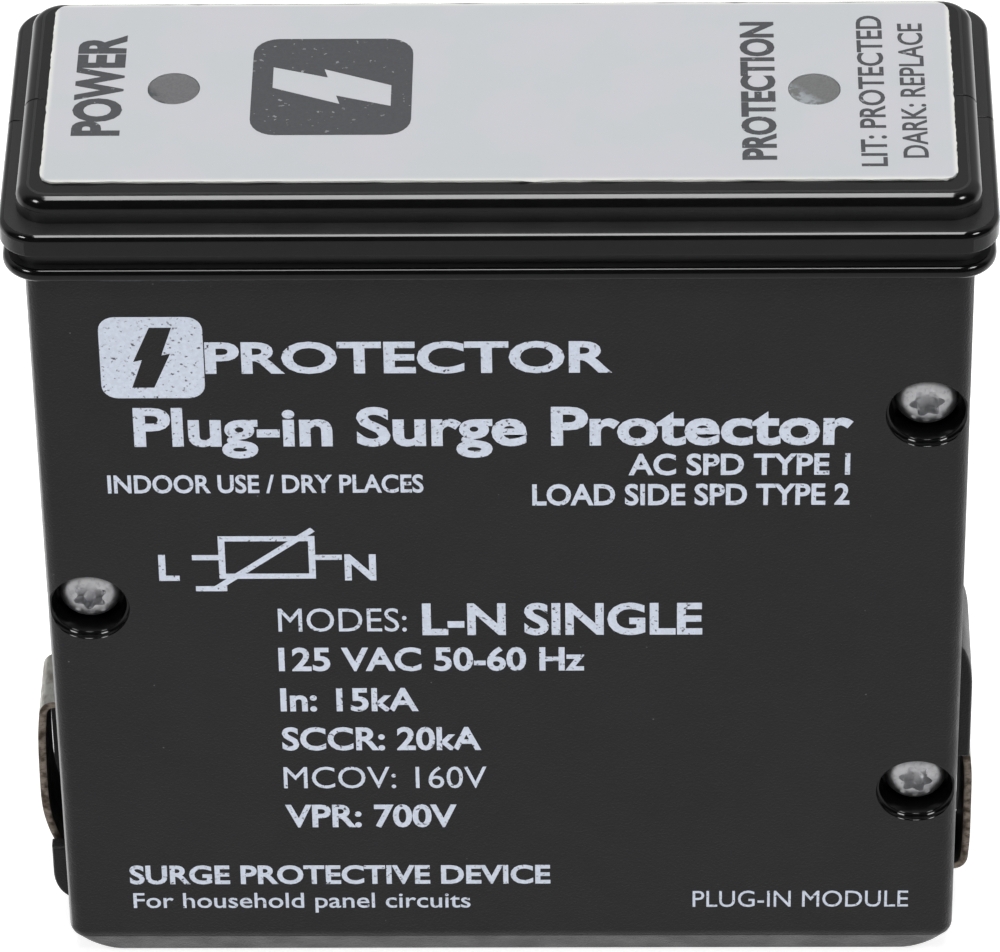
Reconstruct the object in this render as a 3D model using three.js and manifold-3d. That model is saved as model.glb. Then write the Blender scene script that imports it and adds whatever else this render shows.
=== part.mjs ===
// Plug-in surge protection module: a two-part moulded cartridge with a stepped head, status
// windows, two bowed side contacts and the protection circuit that it holds.
//
// Millimetres, +Z up. The origin is the centre of the underside; the printed front faces -Y and
// the two halves of the housing meet on the plane Y = 0.

import * as THREE from 'three';
import { mergeVertices } from 'three/addons/utils/BufferGeometryUtils.js';
import Module from 'manifold-3d';

const wasm = await Module();
wasm.setup();

// ---------------------------------------------------------------- driving dimensions

// Housing body
const BODY_WIDTH = 76.2;
const BODY_DEPTH = 27.34;
const BODY_HEIGHT = 76.56; // underside of the head's lowest tier
const BODY_CORNER = 1.3; // rounding of the four upright edges
const WALL = 2.0;
const LEAD_IN_HEIGHT = 3.57; // the taper that guides the cartridge into its bay
const LEAD_IN_INSET = 2.0;
const FOOT_ROUND = 2.0; // rounding of the two lower corners, seen from the front

// Stepped head, from the bottom up
const LOWER_OVERHANG_X = 1.68; // of the lower tier, beyond the body
const UPPER_OVERHANG_X = 1.84;
const FLANGE_OVERHANG_Y = 1.9;
const FLANGE_CORNER = 3.2;
const LOWER_TIER_HEIGHT = 1.25;
const LOWER_TIER_FILLET = 0.55;
const GROOVE_HEIGHT = 1.4;
const GROOVE_DEPTH = 1.0;
const UPPER_TIER_HEIGHT = 2.02;
const UPPER_TIER_FILLET = 0.59;
const CAP_HEIGHT = 2.2;
const CAP_OVERHANG_X = 0.45; // beyond the body
const CAP_CORNER = 2.6;
const CAP_FILLET = 1.15;
const TOP_WALL = 2.2;
const PARTING_GAP = 0.06;
const LIP_INSET = 1.0; // from the body's side to the tongue
const LIP_HEIGHT = 1.0; // tongue of the rear shell inside the front shell's rebate
const LIP_THICKNESS = 0.8;
const LIP_CLEARANCE = 0.15;

// Printed overlay and its windows
const LABEL_END_MARGIN = 1.95; // from the cap's edge to the overlay, along X
const LABEL_SIDE_MARGIN = 1.72; // and along Y
const LABEL_THICKNESS = 0.22;
const LABEL_CORNER = 1.2;
const LABEL_CENTRE_Y = 0.6;
const LABEL_SEAT_GAP = 0.01;
const POWER_WINDOW = { x: -26.4, y: 1.0 };
const PROTECTION_WINDOW = { x: 25.4, y: 0.6 };
const WINDOW_RADIUS = 2.1;
const WINDOW_HOLE_CLEARANCE = 0.3; // in the housing
const WINDOW_LABEL_CLEARANCE = 0.02; // in the overlay
const WINDOW_SINK = 0.04; // below the overlay's surface
const PIPE_FLANGE_OVERHANG = 0.9;
const PIPE_FLANGE_HEIGHT = 1.0;
const PIPE_STEM_RADIUS = 1.6;
const PIPE_LENGTH = 5.8;
const SEAT_GAP = 0.05; // between faces that rest on each other

// Housing screws
const UPPER_SCREW_DROP = 15.26; // from the body's top to the upper screw
const LEFT_SCREW_HEIGHT = 40.8;
const LOWER_SCREW_HEIGHT = 20.1;
const POCKET_CLEARANCE = 0.45; // between a screw's head and its pocket
const POCKET_STEP = 0.25; // by which the pocket's shallow mouth is wider
const POCKET_MOUTH_DEPTH = 0.55;
const POCKET_SIDE_WALL = 0.15; // between the mouth and the body's side
const SCREW_SINK = 1.5; // top of the head below the front face
const SCREW_HEAD_RADIUS = 2.65;
const SCREW_HEAD_HEIGHT = 1.9;
const SCREW_RIM_HEIGHT = 0.8; // upright part of the head, under the dome
const SCREW_SHANK_RADIUS = 1.25;
const SCREW_LENGTH = 18; // under the head
const SCREW_CLEARANCE = 0.3; // around the shank, in both shells
const SCREW_TIP_GAP = 1.0; // beyond the tip, in the rear shell
const RECESS_RADIUS = 1.42;
const RECESS_DEPTH = 1.0;
const BOSS_WALL = 0.5; // around the pocket
const BOSS_GAP = 0.2; // from the boss to the contact's opening
const REAR_BOSS_WALL = 1.55; // around the shank's hole

// Side contacts and the guide ribs beside them
const CONTACT_WIDTH = 6.4;
const CONTACT_THICKNESS = 0.7;
const CONTACT_FRONT_Y = -8.0;
const CONTACT_SIDE_GAP = 0.3;
const CONTACT_TRAVEL_DEG = 4; // swing of the contact about the root of its bend
const CONTACT_LEG = 3.0; // part of the anchored leg that lies inside the wall
const RIB_FRONT_Y = -9.5;
const LEFT_SIDE = {
  sign: -1,
  up: -1, // the contact hangs down from its anchored end
  anchorZ: 25.05,
  crest: 1.88, // middle of the strip beyond the side wall
  shoulder: 1.58,
  length: 16.6,
  tail: 0.45,
  rib: 1.47,
  ribEnd: 9.9,
  ribTip: 4.0,
  ribRound: 2.9,
  slotEnd: 13.8,
  rearRib: 1.7,
  rearRibTop: 20.5,
  rearRibBottom: 4.0,
};
const RIGHT_SIDE = {
  sign: 1,
  up: 1, // the contact stands up from its anchored end
  anchorZ: 6.2,
  crest: 1.22,
  shoulder: 1.12,
  length: 15.4,
  tail: 0.3,
  rib: 1.21,
  ribEnd: 20.2,
  ribTip: 32.8,
  ribRound: 4.9,
  slotEnd: null, // set below the lower screw's boss
  rearRib: 1.3,
  rearRibTop: 15.5,
  rearRibBottom: 5.0,
};
const RIB_NOTCH = 2.4; // length of the notch in the rib for the contact's free end
const REAR_RIB_BACK_Y = 8.0;
const REAR_RIB_ROUND = 1.8; // length of a rear rib's rounded lower end

// Circuit board and what it carries
const BOARD_SIDE_GAP = 3.6; // from the body's side to the board's edge
const BOARD_THICKNESS = 1.6;
const BOARD_FRONT_Y = 1.0;
const BOARD_BOTTOM = 5;
const BOARD_TOP_GAP = 5.56; // from the body's top to the board's edge
const BOARD_NOTCH_GAP = 0.5;
const POST_RADIUS = 2.2;
const POST_INSET_X = 3.5; // from the board's side edge
const POST_INSET_Z = 3; // from the board's upper edge
const LOWER_POST_HEIGHT = 16;
const MIDDLE_POST_X = 17.5;
const SCREW_TO_POST = 11.3; // from the upper screw down to the post beside it
const HOLE_CLEARANCE = 0.32;
const TAIL_LENGTH = 1.1; // leads beyond the board's back
const SHEET_THICKNESS = 0.5;
const SHEET_Y = 8.4;
const SHEET_MARGIN = 1.6; // from the cavity's walls
const TERMINAL_THICKNESS = 0.8;
const TERMINAL_HEIGHT = 6.0;
const TERMINAL_FOOT = 5.0;
const TERMINAL_GAP = 0.35;

const VARISTOR_INSET = 13; // from the board's upper edge to the upper two varistors
const VARISTOR_COLUMNS = [-20.5, 6.5];
const LOWER_VARISTOR_HEIGHT = 33.5;
const VARISTOR_RADIUS = 11;
const VARISTOR_THICKNESS = 4.8;
const VARISTOR_STANDOFF = 0.8;
const VARISTOR_PITCH = 7.5;
const VARISTOR_LEAD_RADIUS = 0.4;
const THERMAL_FUSE_RADIUS = 2.0;
const THERMAL_FUSE_LENGTH = 9.0;
const THERMAL_FUSE_LEAD_RADIUS = 0.35;
const LINE_FUSE = { x: 24.5, z: 41, radius: 3.2, length: 22, cap: 5, leadRadius: 0.4 };
const CAPACITOR = { x: -19.5, z: 34, width: 18, height: 12, depth: 8, pitch: 15, leadRadius: 0.4 };
const LED = { radius: 1.5, flange: 1.9, height: 4.6, pitch: 2.54, leadRadius: 0.3, leadDrop: 5.5 };
const LED_TO_PIPE = 0.4;
const RESISTORS = { led_resistor_1: { x: -22, z: 14 }, led_resistor_2: { x: -16, z: 14 } };
const RESISTOR = { radius: 1.2, length: 6.5, waist: 0.95, leadRadius: 0.3, pitch: 11 };
const DIODES = { led_diode_1: { x: -10, z: 14 }, led_diode_2: { x: -4, z: 14 } };
const DIODE = { radius: 1.3, length: 5.2, waist: 1.3, leadRadius: 0.35, pitch: 10 };
const TRANSISTOR = { x: 3, z: 14, radius: 2.4, height: 4.6, standoff: 2.5, pitch: 1.27 };
const TRANSISTOR_LEAD_RADIUS = 0.22;
const BUS_LINK = { x: 18, z: 11.5, width: 20, height: 5, thickness: 0.8, rise: 2.6, foot: 3 };

// ---------------------------------------------------------------- derived places

const HALF_WIDTH = BODY_WIDTH / 2;
const HALF_DEPTH = BODY_DEPTH / 2;
const FRONT_Y = -HALF_DEPTH;
const CAP_HALF_X = HALF_WIDTH + CAP_OVERHANG_X;
const GROOVE_BOTTOM = BODY_HEIGHT + LOWER_TIER_HEIGHT;
const UPPER_TIER_BOTTOM = GROOVE_BOTTOM + GROOVE_HEIGHT;
const CAP_BOTTOM = UPPER_TIER_BOTTOM + UPPER_TIER_HEIGHT;
const HEAD_TOP = CAP_BOTTOM + CAP_HEIGHT;
const CAVITY_TOP = HEAD_TOP - TOP_WALL;
const LABEL_BOTTOM = HEAD_TOP + LABEL_SEAT_GAP;
const LABEL_TOP = LABEL_BOTTOM + LABEL_THICKNESS;
const WINDOW_TOP = LABEL_TOP - WINDOW_SINK;
const PIPE_END = WINDOW_TOP - PIPE_LENGTH;

const SCREW_SEAT_Y = FRONT_Y + SCREW_SINK + SCREW_HEAD_HEIGHT;
const POCKET_RADIUS = SCREW_HEAD_RADIUS + POCKET_CLEARANCE;
const MOUTH_RADIUS = POCKET_RADIUS + POCKET_STEP;
const BOSS_RADIUS = POCKET_RADIUS + BOSS_WALL;
const SHANK_HOLE_RADIUS = SCREW_SHANK_RADIUS + SCREW_CLEARANCE;
const REAR_BOSS_RADIUS = SHANK_HOLE_RADIUS + REAR_BOSS_WALL;
const SCREW_X = HALF_WIDTH - MOUTH_RADIUS - POCKET_SIDE_WALL;
const SCREWS = {
  screw_upper_right: { x: SCREW_X, z: BODY_HEIGHT - UPPER_SCREW_DROP },
  screw_left: { x: -SCREW_X, z: LEFT_SCREW_HEIGHT },
  screw_lower_right: { x: SCREW_X, z: LOWER_SCREW_HEIGHT },
};
RIGHT_SIDE.slotEnd = LOWER_SCREW_HEIGHT - BOSS_RADIUS - BOSS_GAP;

const BOARD_HALF_WIDTH = HALF_WIDTH - BOARD_SIDE_GAP;
const BOARD_TOP = BODY_HEIGHT - BOARD_TOP_GAP;
const BOARD_BACK_Y = BOARD_FRONT_Y + BOARD_THICKNESS;
const TAIL_Y = BOARD_BACK_Y + TAIL_LENGTH;
const POST_X = BOARD_HALF_WIDTH - POST_INSET_X;
const POSTS = [
  { x: -POST_X, z: LOWER_POST_HEIGHT },
  { x: POST_X, z: SCREWS.screw_upper_right.z - SCREW_TO_POST },
  { x: -POST_X, z: BOARD_TOP - POST_INSET_Z },
  { x: MIDDLE_POST_X, z: BOARD_TOP - POST_INSET_Z },
];
const VARISTORS = {
  varistor_1: { x: VARISTOR_COLUMNS[0], z: BOARD_TOP - VARISTOR_INSET },
  varistor_2: { x: VARISTOR_COLUMNS[1], z: BOARD_TOP - VARISTOR_INSET },
  varistor_3: { x: VARISTOR_COLUMNS[1], z: LOWER_VARISTOR_HEIGHT },
};

const JOIN = 0.5; // by which a solid reaches into the one that it joins
const BEYOND = 1; // by which a cutter reaches past what it cuts
const FAR = 200; // past everything

// ---------------------------------------------------------------- materials

const plastic = new THREE.MeshStandardMaterial({ color: 0x2f2e31, roughness: 0.5 });
const overlay = new THREE.MeshStandardMaterial({ color: 0xc7cacd, roughness: 0.45 });
const smoked = new THREE.MeshStandardMaterial({ color: 0x67686b, roughness: 0.2 });
const zinc = new THREE.MeshStandardMaterial({ color: 0xb9bcc2, roughness: 0.3, metalness: 1 });
const plated = new THREE.MeshStandardMaterial({ color: 0x968c82, roughness: 0.4, metalness: 1 });
const tinned = new THREE.MeshStandardMaterial({ color: 0xb4b6ba, roughness: 0.35, metalness: 1 });
const copper = new THREE.MeshStandardMaterial({ color: 0xb06a42, roughness: 0.35, metalness: 1 });
const glassEpoxy = new THREE.MeshStandardMaterial({ color: 0x2c5a34, roughness: 0.45 });
const coating = new THREE.MeshStandardMaterial({ color: 0x2a4c8a, roughness: 0.35 });
const ceramic = new THREE.MeshStandardMaterial({ color: 0xe6e1d6, roughness: 0.5 });
const capacitorCase = new THREE.MeshStandardMaterial({ color: 0x9c2f28, roughness: 0.4 });
const ledResin = new THREE.MeshStandardMaterial({ color: 0x6fc07a, roughness: 0.15 });
const resistorBody = new THREE.MeshStandardMaterial({ color: 0xbfa27a, roughness: 0.5 });
const moulded = new THREE.MeshStandardMaterial({ color: 0x1b1b1d, roughness: 0.55 });
const fishPaper = new THREE.MeshStandardMaterial({ color: 0x8f8a7c, roughness: 0.8 });

// ---------------------------------------------------------------- solids and shapes

/** Turns a closed geometry into a manifold solid. */
function solid(geometry) {
  const bare = geometry.clone();
  bare.deleteAttribute('normal');
  bare.deleteAttribute('uv');
  const merged = mergeVertices(bare);
  return new wasm.Manifold(
    new wasm.Mesh({
      numProp: 3,
      vertProperties: new Float32Array(merged.attributes.position.array),
      triVerts: new Uint32Array(merged.index.array),
    }),
  );
}

/** Turns a manifold solid back into a geometry. */
function geometryOf(manifold) {
  const { vertProperties, triVerts } = manifold.getMesh();
  const geometry = new THREE.BufferGeometry();
  geometry.setAttribute('position', new THREE.BufferAttribute(vertProperties, 3));
  geometry.setIndex(new THREE.BufferAttribute(triVerts, 1));
  geometry.computeVertexNormals();
  return geometry;
}

const joined = (solids) => solids.reduce((sum, next) => sum.add(next));

/** A box between two opposite corners. */
function box(low, high) {
  const size = high.map((value, axis) => value - low[axis]);
  const middle = high.map((value, axis) => (value + low[axis]) / 2);
  return solid(new THREE.BoxGeometry(...size).translate(...middle));
}

/** A cylinder along Y from y0 to y1. */
function cylinderY(x, z, radius, y0, y1, sides = 24) {
  const geometry = new THREE.CylinderGeometry(radius, radius, y1 - y0, sides);
  return solid(geometry.translate(x, (y0 + y1) / 2, z));
}

/** A cylinder along Z from z0 to z1. */
function cylinderZ(x, y, radius, z0, z1, sides = 24) {
  const geometry = new THREE.CylinderGeometry(radius, radius, z1 - z0, sides);
  return solid(geometry.rotateX(Math.PI / 2).translate(x, y, (z0 + z1) / 2));
}

/** A round wire that follows a chain of points with rounded bends. */
function wire(points, radius, sides = 6) {
  const chain = new THREE.CurvePath();
  const corners = points.map((point) => new THREE.Vector3(...point));
  const bend = radius * 2.5;
  let start = corners[0];
  for (let i = 1; i < corners.length - 1; i += 1) {
    const inward = corners[i].clone().sub(start).normalize().multiplyScalar(bend);
    const onward = corners[i + 1].clone().sub(corners[i]).normalize().multiplyScalar(bend);
    const before = corners[i].clone().sub(inward);
    const after = corners[i].clone().add(onward);
    chain.add(new THREE.LineCurve3(start, before));
    chain.add(new THREE.QuadraticBezierCurve3(before, corners[i], after));
    start = after;
  }
  chain.add(new THREE.LineCurve3(start, corners[corners.length - 1]));
  const section = new THREE.Shape();
  section.absarc(0, 0, radius, 0, 2 * Math.PI);
  const steps = 3 * (points.length - 1);
  const settings = { extrudePath: chain, steps, curveSegments: sides / 2 };
  return solid(new THREE.ExtrudeGeometry(section, settings));
}

/** A rectangle centred on (0, centreY) with rounded corners. */
function roundedRectangle(halfX, halfY, radius, centreY = 0) {
  const shape = new THREE.Shape();
  const x = halfX - radius;
  const y = halfY - radius;
  shape.absarc(x, centreY - y, radius, -Math.PI / 2, 0);
  shape.absarc(x, centreY + y, radius, 0, Math.PI / 2);
  shape.absarc(-x, centreY + y, radius, Math.PI / 2, Math.PI);
  shape.absarc(-x, centreY - y, radius, Math.PI, 1.5 * Math.PI);
  return shape;
}

/** Outline of a shape without a doubled last point. */
function outlineOf(shape, segments) {
  const points = shape.getPoints(segments);
  const unique = points.filter((point, i) => i === 0 || point.distanceTo(points[i - 1]) > 1e-6);
  if (unique[0].distanceTo(unique[unique.length - 1]) < 1e-6) unique.pop();
  return unique;
}

/** Skins a stack of level rings, each { z, halfX, halfY, corner }, into a closed solid. */
function loft(rings, segments = 3) {
  const outlines = rings.map((ring) => {
    const shape = roundedRectangle(ring.halfX, ring.halfY, Math.max(ring.corner, 0.1));
    return outlineOf(shape, segments).map((point) => [point.x, point.y, ring.z]);
  });
  const count = outlines[0].length;
  const positions = outlines.flat(2);
  const index = [];
  for (let level = 0; level < rings.length - 1; level += 1) {
    for (let i = 0; i < count; i += 1) {
      const a = level * count + i;
      const b = level * count + ((i + 1) % count);
      index.push(a, b, b + count, a, b + count, a + count);
    }
  }
  const last = (rings.length - 1) * count;
  for (let i = 1; i < count - 1; i += 1) {
    index.push(0, i + 1, i);
    index.push(last, last + i, last + i + 1);
  }
  const geometry = new THREE.BufferGeometry();
  geometry.setAttribute('position', new THREE.Float32BufferAttribute(positions, 3));
  geometry.setIndex(index);
  return solid(geometry);
}

/** Rings of one tier from its flat bottom to its filleted top. */
function tierRings(bottom, height, halfX, halfY, corner, fillet, steps = 4) {
  const rings = [{ z: bottom, halfX, halfY, corner }];
  for (let i = 0; i <= steps; i += 1) {
    const angle = (i / steps) * (Math.PI / 2);
    const inset = fillet * (1 - Math.cos(angle));
    rings.push({
      z: bottom + height - fillet * (1 - Math.sin(angle)),
      halfX: halfX - inset,
      halfY: halfY - inset,
      corner: corner - inset,
    });
  }
  return rings;
}

/** A closed shape in the XZ plane, pulled from y0 to y1. */
function prismY(shape, y0, y1, curveSegments = 8) {
  const settings = { depth: y1 - y0, bevelEnabled: false, curveSegments };
  const geometry = new THREE.ExtrudeGeometry(shape, settings);
  return solid(geometry.rotateX(Math.PI / 2).translate(0, y1, 0));
}

/** A closed shape in the XY plane, pulled from z0 to z1. */
function prismZ(shape, z0, z1, curveSegments = 8) {
  const settings = { depth: z1 - z0, bevelEnabled: false, curveSegments };
  return solid(new THREE.ExtrudeGeometry(shape, settings).translate(0, 0, z0));
}

// ---------------------------------------------------------------- housing

/** Rings of the body's lower end: the lead-in taper and the rounded lower corners. */
function footRings(levels = 6) {
  const rings = [];
  for (let i = 0; i < levels; i += 1) {
    const z = (LEAD_IN_HEIGHT * i) / (levels - 1);
    const taper = LEAD_IN_INSET * (1 - z / LEAD_IN_HEIGHT);
    const fall = Math.max(FOOT_ROUND - z, 0);
    const round = FOOT_ROUND - Math.sqrt(FOOT_ROUND ** 2 - fall ** 2);
    rings.push({
      z,
      halfX: HALF_WIDTH - taper - round * 0.8,
      halfY: HALF_DEPTH - taper,
      corner: BODY_CORNER,
    });
  }
  return rings;
}

/** The whole outer form of the housing, both halves together. */
function housingForm() {
  const lowerX = HALF_WIDTH + LOWER_OVERHANG_X;
  const upperX = HALF_WIDTH + UPPER_OVERHANG_X;
  const flangeY = HALF_DEPTH + FLANGE_OVERHANG_Y;
  const groove = {
    halfX: lowerX - GROOVE_DEPTH,
    halfY: flangeY - GROOVE_DEPTH,
    corner: FLANGE_CORNER - GROOVE_DEPTH,
  };
  return loft([
    ...footRings(),
    { z: BODY_HEIGHT, halfX: HALF_WIDTH, halfY: HALF_DEPTH, corner: BODY_CORNER },
    ...tierRings(
      BODY_HEIGHT,
      LOWER_TIER_HEIGHT,
      lowerX,
      flangeY,
      FLANGE_CORNER,
      LOWER_TIER_FILLET,
    ),
    { z: GROOVE_BOTTOM, ...groove },
    { z: UPPER_TIER_BOTTOM, ...groove },
    ...tierRings(
      UPPER_TIER_BOTTOM,
      UPPER_TIER_HEIGHT,
      upperX,
      flangeY,
      FLANGE_CORNER,
      UPPER_TIER_FILLET,
    ),
    ...tierRings(CAP_BOTTOM, CAP_HEIGHT, CAP_HALF_X, HALF_DEPTH, CAP_CORNER, CAP_FILLET),
  ]);
}

/** The hollow that both halves share. */
function cavityForm() {
  const halfX = HALF_WIDTH - WALL;
  const halfY = HALF_DEPTH - WALL;
  const corner = BODY_CORNER;
  const drawn = LEAD_IN_INSET;
  const floor = WALL + 0.2;
  const levels = [
    [floor, drawn],
    [LEAD_IN_HEIGHT + 1, 0],
    [CAVITY_TOP, 0],
  ];
  return loft(
    levels.map(([z, inset]) => ({ z, halfX: halfX - inset, halfY: halfY - inset, corner })),
    2,
  );
}

/** The upright band, drawn in by `inset` from the body's outline, where the halves interlock. */
function bandOutline(inset) {
  const half = HALF_WIDTH - inset;
  const low = LEAD_IN_HEIGHT + inset;
  const high = BODY_HEIGHT - inset;
  const shape = new THREE.Shape();
  shape.moveTo(-half, low);
  shape.lineTo(half, low);
  shape.lineTo(half, high);
  shape.lineTo(-half, high);
  shape.closePath();
  return shape;
}

/** A frame between two insets of the body's outline, pulled along Y. */
function bandFrame(outerInset, innerInset, y0, y1) {
  return prismY(bandOutline(outerInset), y0, y1).subtract(
    prismY(bandOutline(innerInset), y0 - 1, y1 + 1),
  );
}

/** The two side strips of that frame; the top and bottom of the frame are left off. */
function sideLips(outerInset, innerInset, y0, y1) {
  const keepLow = LEAD_IN_HEIGHT + WALL;
  const keepHigh = BODY_HEIGHT - WALL - 1;
  const keep = box([-HALF_WIDTH, y0, keepLow], [HALF_WIDTH, y1, keepHigh]);
  return bandFrame(outerInset, innerInset, y0, y1).intersect(keep);
}

/** Guide rib beside a contact: a bar with one rounded end that fades into the wall. */
function ribBar(side) {
  const root = HALF_WIDTH - 1;
  const face = HALF_WIDTH + side.rib;
  const towardsTip = Math.sign(side.ribTip - side.ribEnd);
  const shoulder = side.ribTip - towardsTip * side.ribRound;
  const shape = new THREE.Shape();
  shape.moveTo(side.sign * root, side.ribEnd);
  shape.lineTo(side.sign * face, side.ribEnd);
  shape.lineTo(side.sign * face, shoulder);
  shape.quadraticCurveTo(
    side.sign * face,
    side.ribTip - towardsTip * side.ribRound * 0.25,
    side.sign * HALF_WIDTH,
    side.ribTip,
  );
  shape.lineTo(side.sign * root, side.ribTip);
  shape.closePath();
  return prismY(shape, RIB_FRONT_Y, -PARTING_GAP / 2, 10);
}

/** Rib of the rear shell that backs a contact: a bar with its lower end faded into the wall. */
function rearRibBar(side) {
  const root = HALF_WIDTH - 1;
  const face = HALF_WIDTH + side.rearRib;
  const low = side.rearRibBottom;
  const shape = new THREE.Shape();
  shape.moveTo(side.sign * root, side.rearRibTop);
  shape.lineTo(side.sign * face, side.rearRibTop);
  shape.lineTo(side.sign * face, low + REAR_RIB_ROUND);
  shape.quadraticCurveTo(side.sign * face, low, side.sign * HALF_WIDTH, low);
  shape.lineTo(side.sign * root, low);
  shape.closePath();
  return prismY(shape, PARTING_GAP / 2, REAR_RIB_BACK_Y, 8);
}

/** Opening in the side wall behind a contact, with the notch for its free end in the rib. */
function contactWindow(side) {
  const y0 = CONTACT_FRONT_Y - CONTACT_SIDE_GAP;
  const y1 = CONTACT_FRONT_Y + CONTACT_WIDTH + CONTACT_SIDE_GAP;
  const anchorEdge = side.anchorZ - side.up * (CONTACT_THICKNESS / 2 + CONTACT_SIDE_GAP);
  const notchEnd = side.ribEnd + side.up * RIB_NOTCH;
  const { slotEnd } = side;
  const travel = side.length * Math.sin(THREE.MathUtils.degToRad(CONTACT_TRAVEL_DEG));
  const room = travel + CONTACT_THICKNESS / 2 - side.tail + CONTACT_SIDE_GAP;
  const pieces = [
    // through the wall
    [HALF_WIDTH - WALL - BEYOND, HALF_WIDTH + BEYOND, anchorEdge, slotEnd],
    // notch in the rib and in the face of the wall
    [HALF_WIDTH - room, HALF_WIDTH + side.rib + BEYOND, slotEnd, notchEnd],
  ];
  return joined(
    pieces.map(([inner, outer, from, to]) => {
      const xs = [side.sign * inner, side.sign * outer].sort((a, b) => a - b);
      const zs = [from, to].sort((a, b) => a - b);
      return box([xs[0], y0, zs[0] - 0.01], [xs[1], y1, zs[1] + 0.01]);
    }),
  );
}

/** Round through-holes of the head for both light pipes. */
function pipeHoles(radius, z0, z1) {
  return joined(
    [POWER_WINDOW, PROTECTION_WINDOW].map(({ x, y }) => cylinderZ(x, y, radius, z0, z1, 32)),
  );
}

/** The part of the housing's form on one side of the parting plane. */
function housingHalf(sign) {
  const near = (sign * PARTING_GAP) / 2;
  const [y0, y1] = [near, sign * FAR].sort((a, b) => a - b);
  return housingForm().intersect(box([-FAR, y0, -FAR], [FAR, y1, FAR]));
}

/** Cylinders along Y at the given places. */
function pillars(places, radius, y0, y1, sides) {
  return joined(places.map(({ x, z }) => cylinderY(x, z, radius, y0, y1, sides)));
}

/** Both holes for the light pipes, cut through the top wall. */
function pipeOpenings() {
  const radius = WINDOW_RADIUS + WINDOW_HOLE_CLEARANCE;
  return pipeHoles(radius, CAVITY_TOP - BEYOND, HEAD_TOP + BEYOND);
}

function frontShell() {
  const inside = housingHalf(-1);
  const screws = Object.values(SCREWS);
  const bosses = pillars(screws, BOSS_RADIUS, FRONT_Y + JOIN, -PARTING_GAP / 2, 24);
  const posts = pillars(POSTS, POST_RADIUS, FRONT_Y + JOIN, BOARD_FRONT_Y - SEAT_GAP, 12);
  const pockets = pillars(screws, POCKET_RADIUS, FRONT_Y, SCREW_SEAT_Y + SEAT_GAP, 32);
  const mouthEnd = FRONT_Y + POCKET_MOUTH_DEPTH;
  const mouths = pillars(screws, MOUTH_RADIUS, FRONT_Y - BEYOND, mouthEnd, 32);
  const holes = pillars(screws, SHANK_HOLE_RADIUS, FRONT_Y, -FRONT_Y, 16);
  const rebateDepth = LIP_HEIGHT + LIP_CLEARANCE;
  return inside
    .subtract(cavityForm())
    .add(bosses.intersect(inside))
    .add(posts)
    .add(ribBar(LEFT_SIDE))
    .add(ribBar(RIGHT_SIDE))
    .subtract(sideLips(LIP_INSET - LIP_CLEARANCE, WALL + BEYOND, -rebateDepth, BEYOND))
    .subtract(pockets)
    .subtract(mouths)
    .subtract(holes)
    .subtract(contactWindow(LEFT_SIDE))
    .subtract(contactWindow(RIGHT_SIDE))
    .subtract(pipeOpenings());
}

function rearShell() {
  const inside = housingHalf(1);
  const screws = Object.values(SCREWS);
  const bosses = pillars(screws, REAR_BOSS_RADIUS, PARTING_GAP / 2, HALF_DEPTH - JOIN, 24);
  const posts = pillars(POSTS, POST_RADIUS, BOARD_BACK_Y + SEAT_GAP, HALF_DEPTH - JOIN, 12);
  const holeEnd = SCREW_SEAT_Y + SCREW_LENGTH + SCREW_TIP_GAP;
  const holes = pillars(screws, SHANK_HOLE_RADIUS, -BEYOND, holeEnd, 16);
  const tongue = sideLips(LIP_INSET, LIP_INSET + LIP_THICKNESS, -LIP_HEIGHT, PARTING_GAP);
  return inside
    .subtract(cavityForm())
    .add(bosses.intersect(inside))
    .add(posts)
    .add(rearRibBar(LEFT_SIDE))
    .add(rearRibBar(RIGHT_SIDE))
    .add(tongue)
    .subtract(holes)
    .subtract(pipeOpenings());
}

// ---------------------------------------------------------------- label, windows, screws

function topLabel() {
  const halfX = CAP_HALF_X - LABEL_END_MARGIN;
  const halfY = HALF_DEPTH - LABEL_SIDE_MARGIN;
  const shape = roundedRectangle(halfX, halfY, LABEL_CORNER, LABEL_CENTRE_Y);
  const holeRadius = WINDOW_RADIUS + WINDOW_LABEL_CLEARANCE;
  const holes = pipeHoles(holeRadius, LABEL_BOTTOM - BEYOND, LABEL_TOP + BEYOND);
  return prismZ(shape, LABEL_BOTTOM, LABEL_TOP, 3).subtract(holes);
}

/** Light pipe: a disc in the label's window, a flange under the top wall and a short stem. */
function lightPipe({ x, y }) {
  const flangeRadius = WINDOW_RADIUS + PIPE_FLANGE_OVERHANG;
  const flangeTop = CAVITY_TOP - SEAT_GAP;
  return joined([
    cylinderZ(x, y, WINDOW_RADIUS, flangeTop - JOIN, WINDOW_TOP, 32),
    cylinderZ(x, y, flangeRadius, flangeTop - PIPE_FLANGE_HEIGHT, flangeTop),
    cylinderZ(x, y, PIPE_STEM_RADIUS, PIPE_END, flangeTop - JOIN, 16),
  ]);
}

/** Six-lobe outline of the driver recess. */
function lobeShape(radius) {
  const shape = new THREE.Shape();
  const count = 30;
  for (let i = 0; i < count; i += 1) {
    const angle = (i / count) * 2 * Math.PI;
    const reach = radius * (0.86 + 0.14 * Math.cos(6 * angle));
    const point = [reach * Math.cos(angle), reach * Math.sin(angle)];
    if (i === 0) shape.moveTo(...point);
    else shape.lineTo(...point);
  }
  shape.closePath();
  return shape;
}

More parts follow.
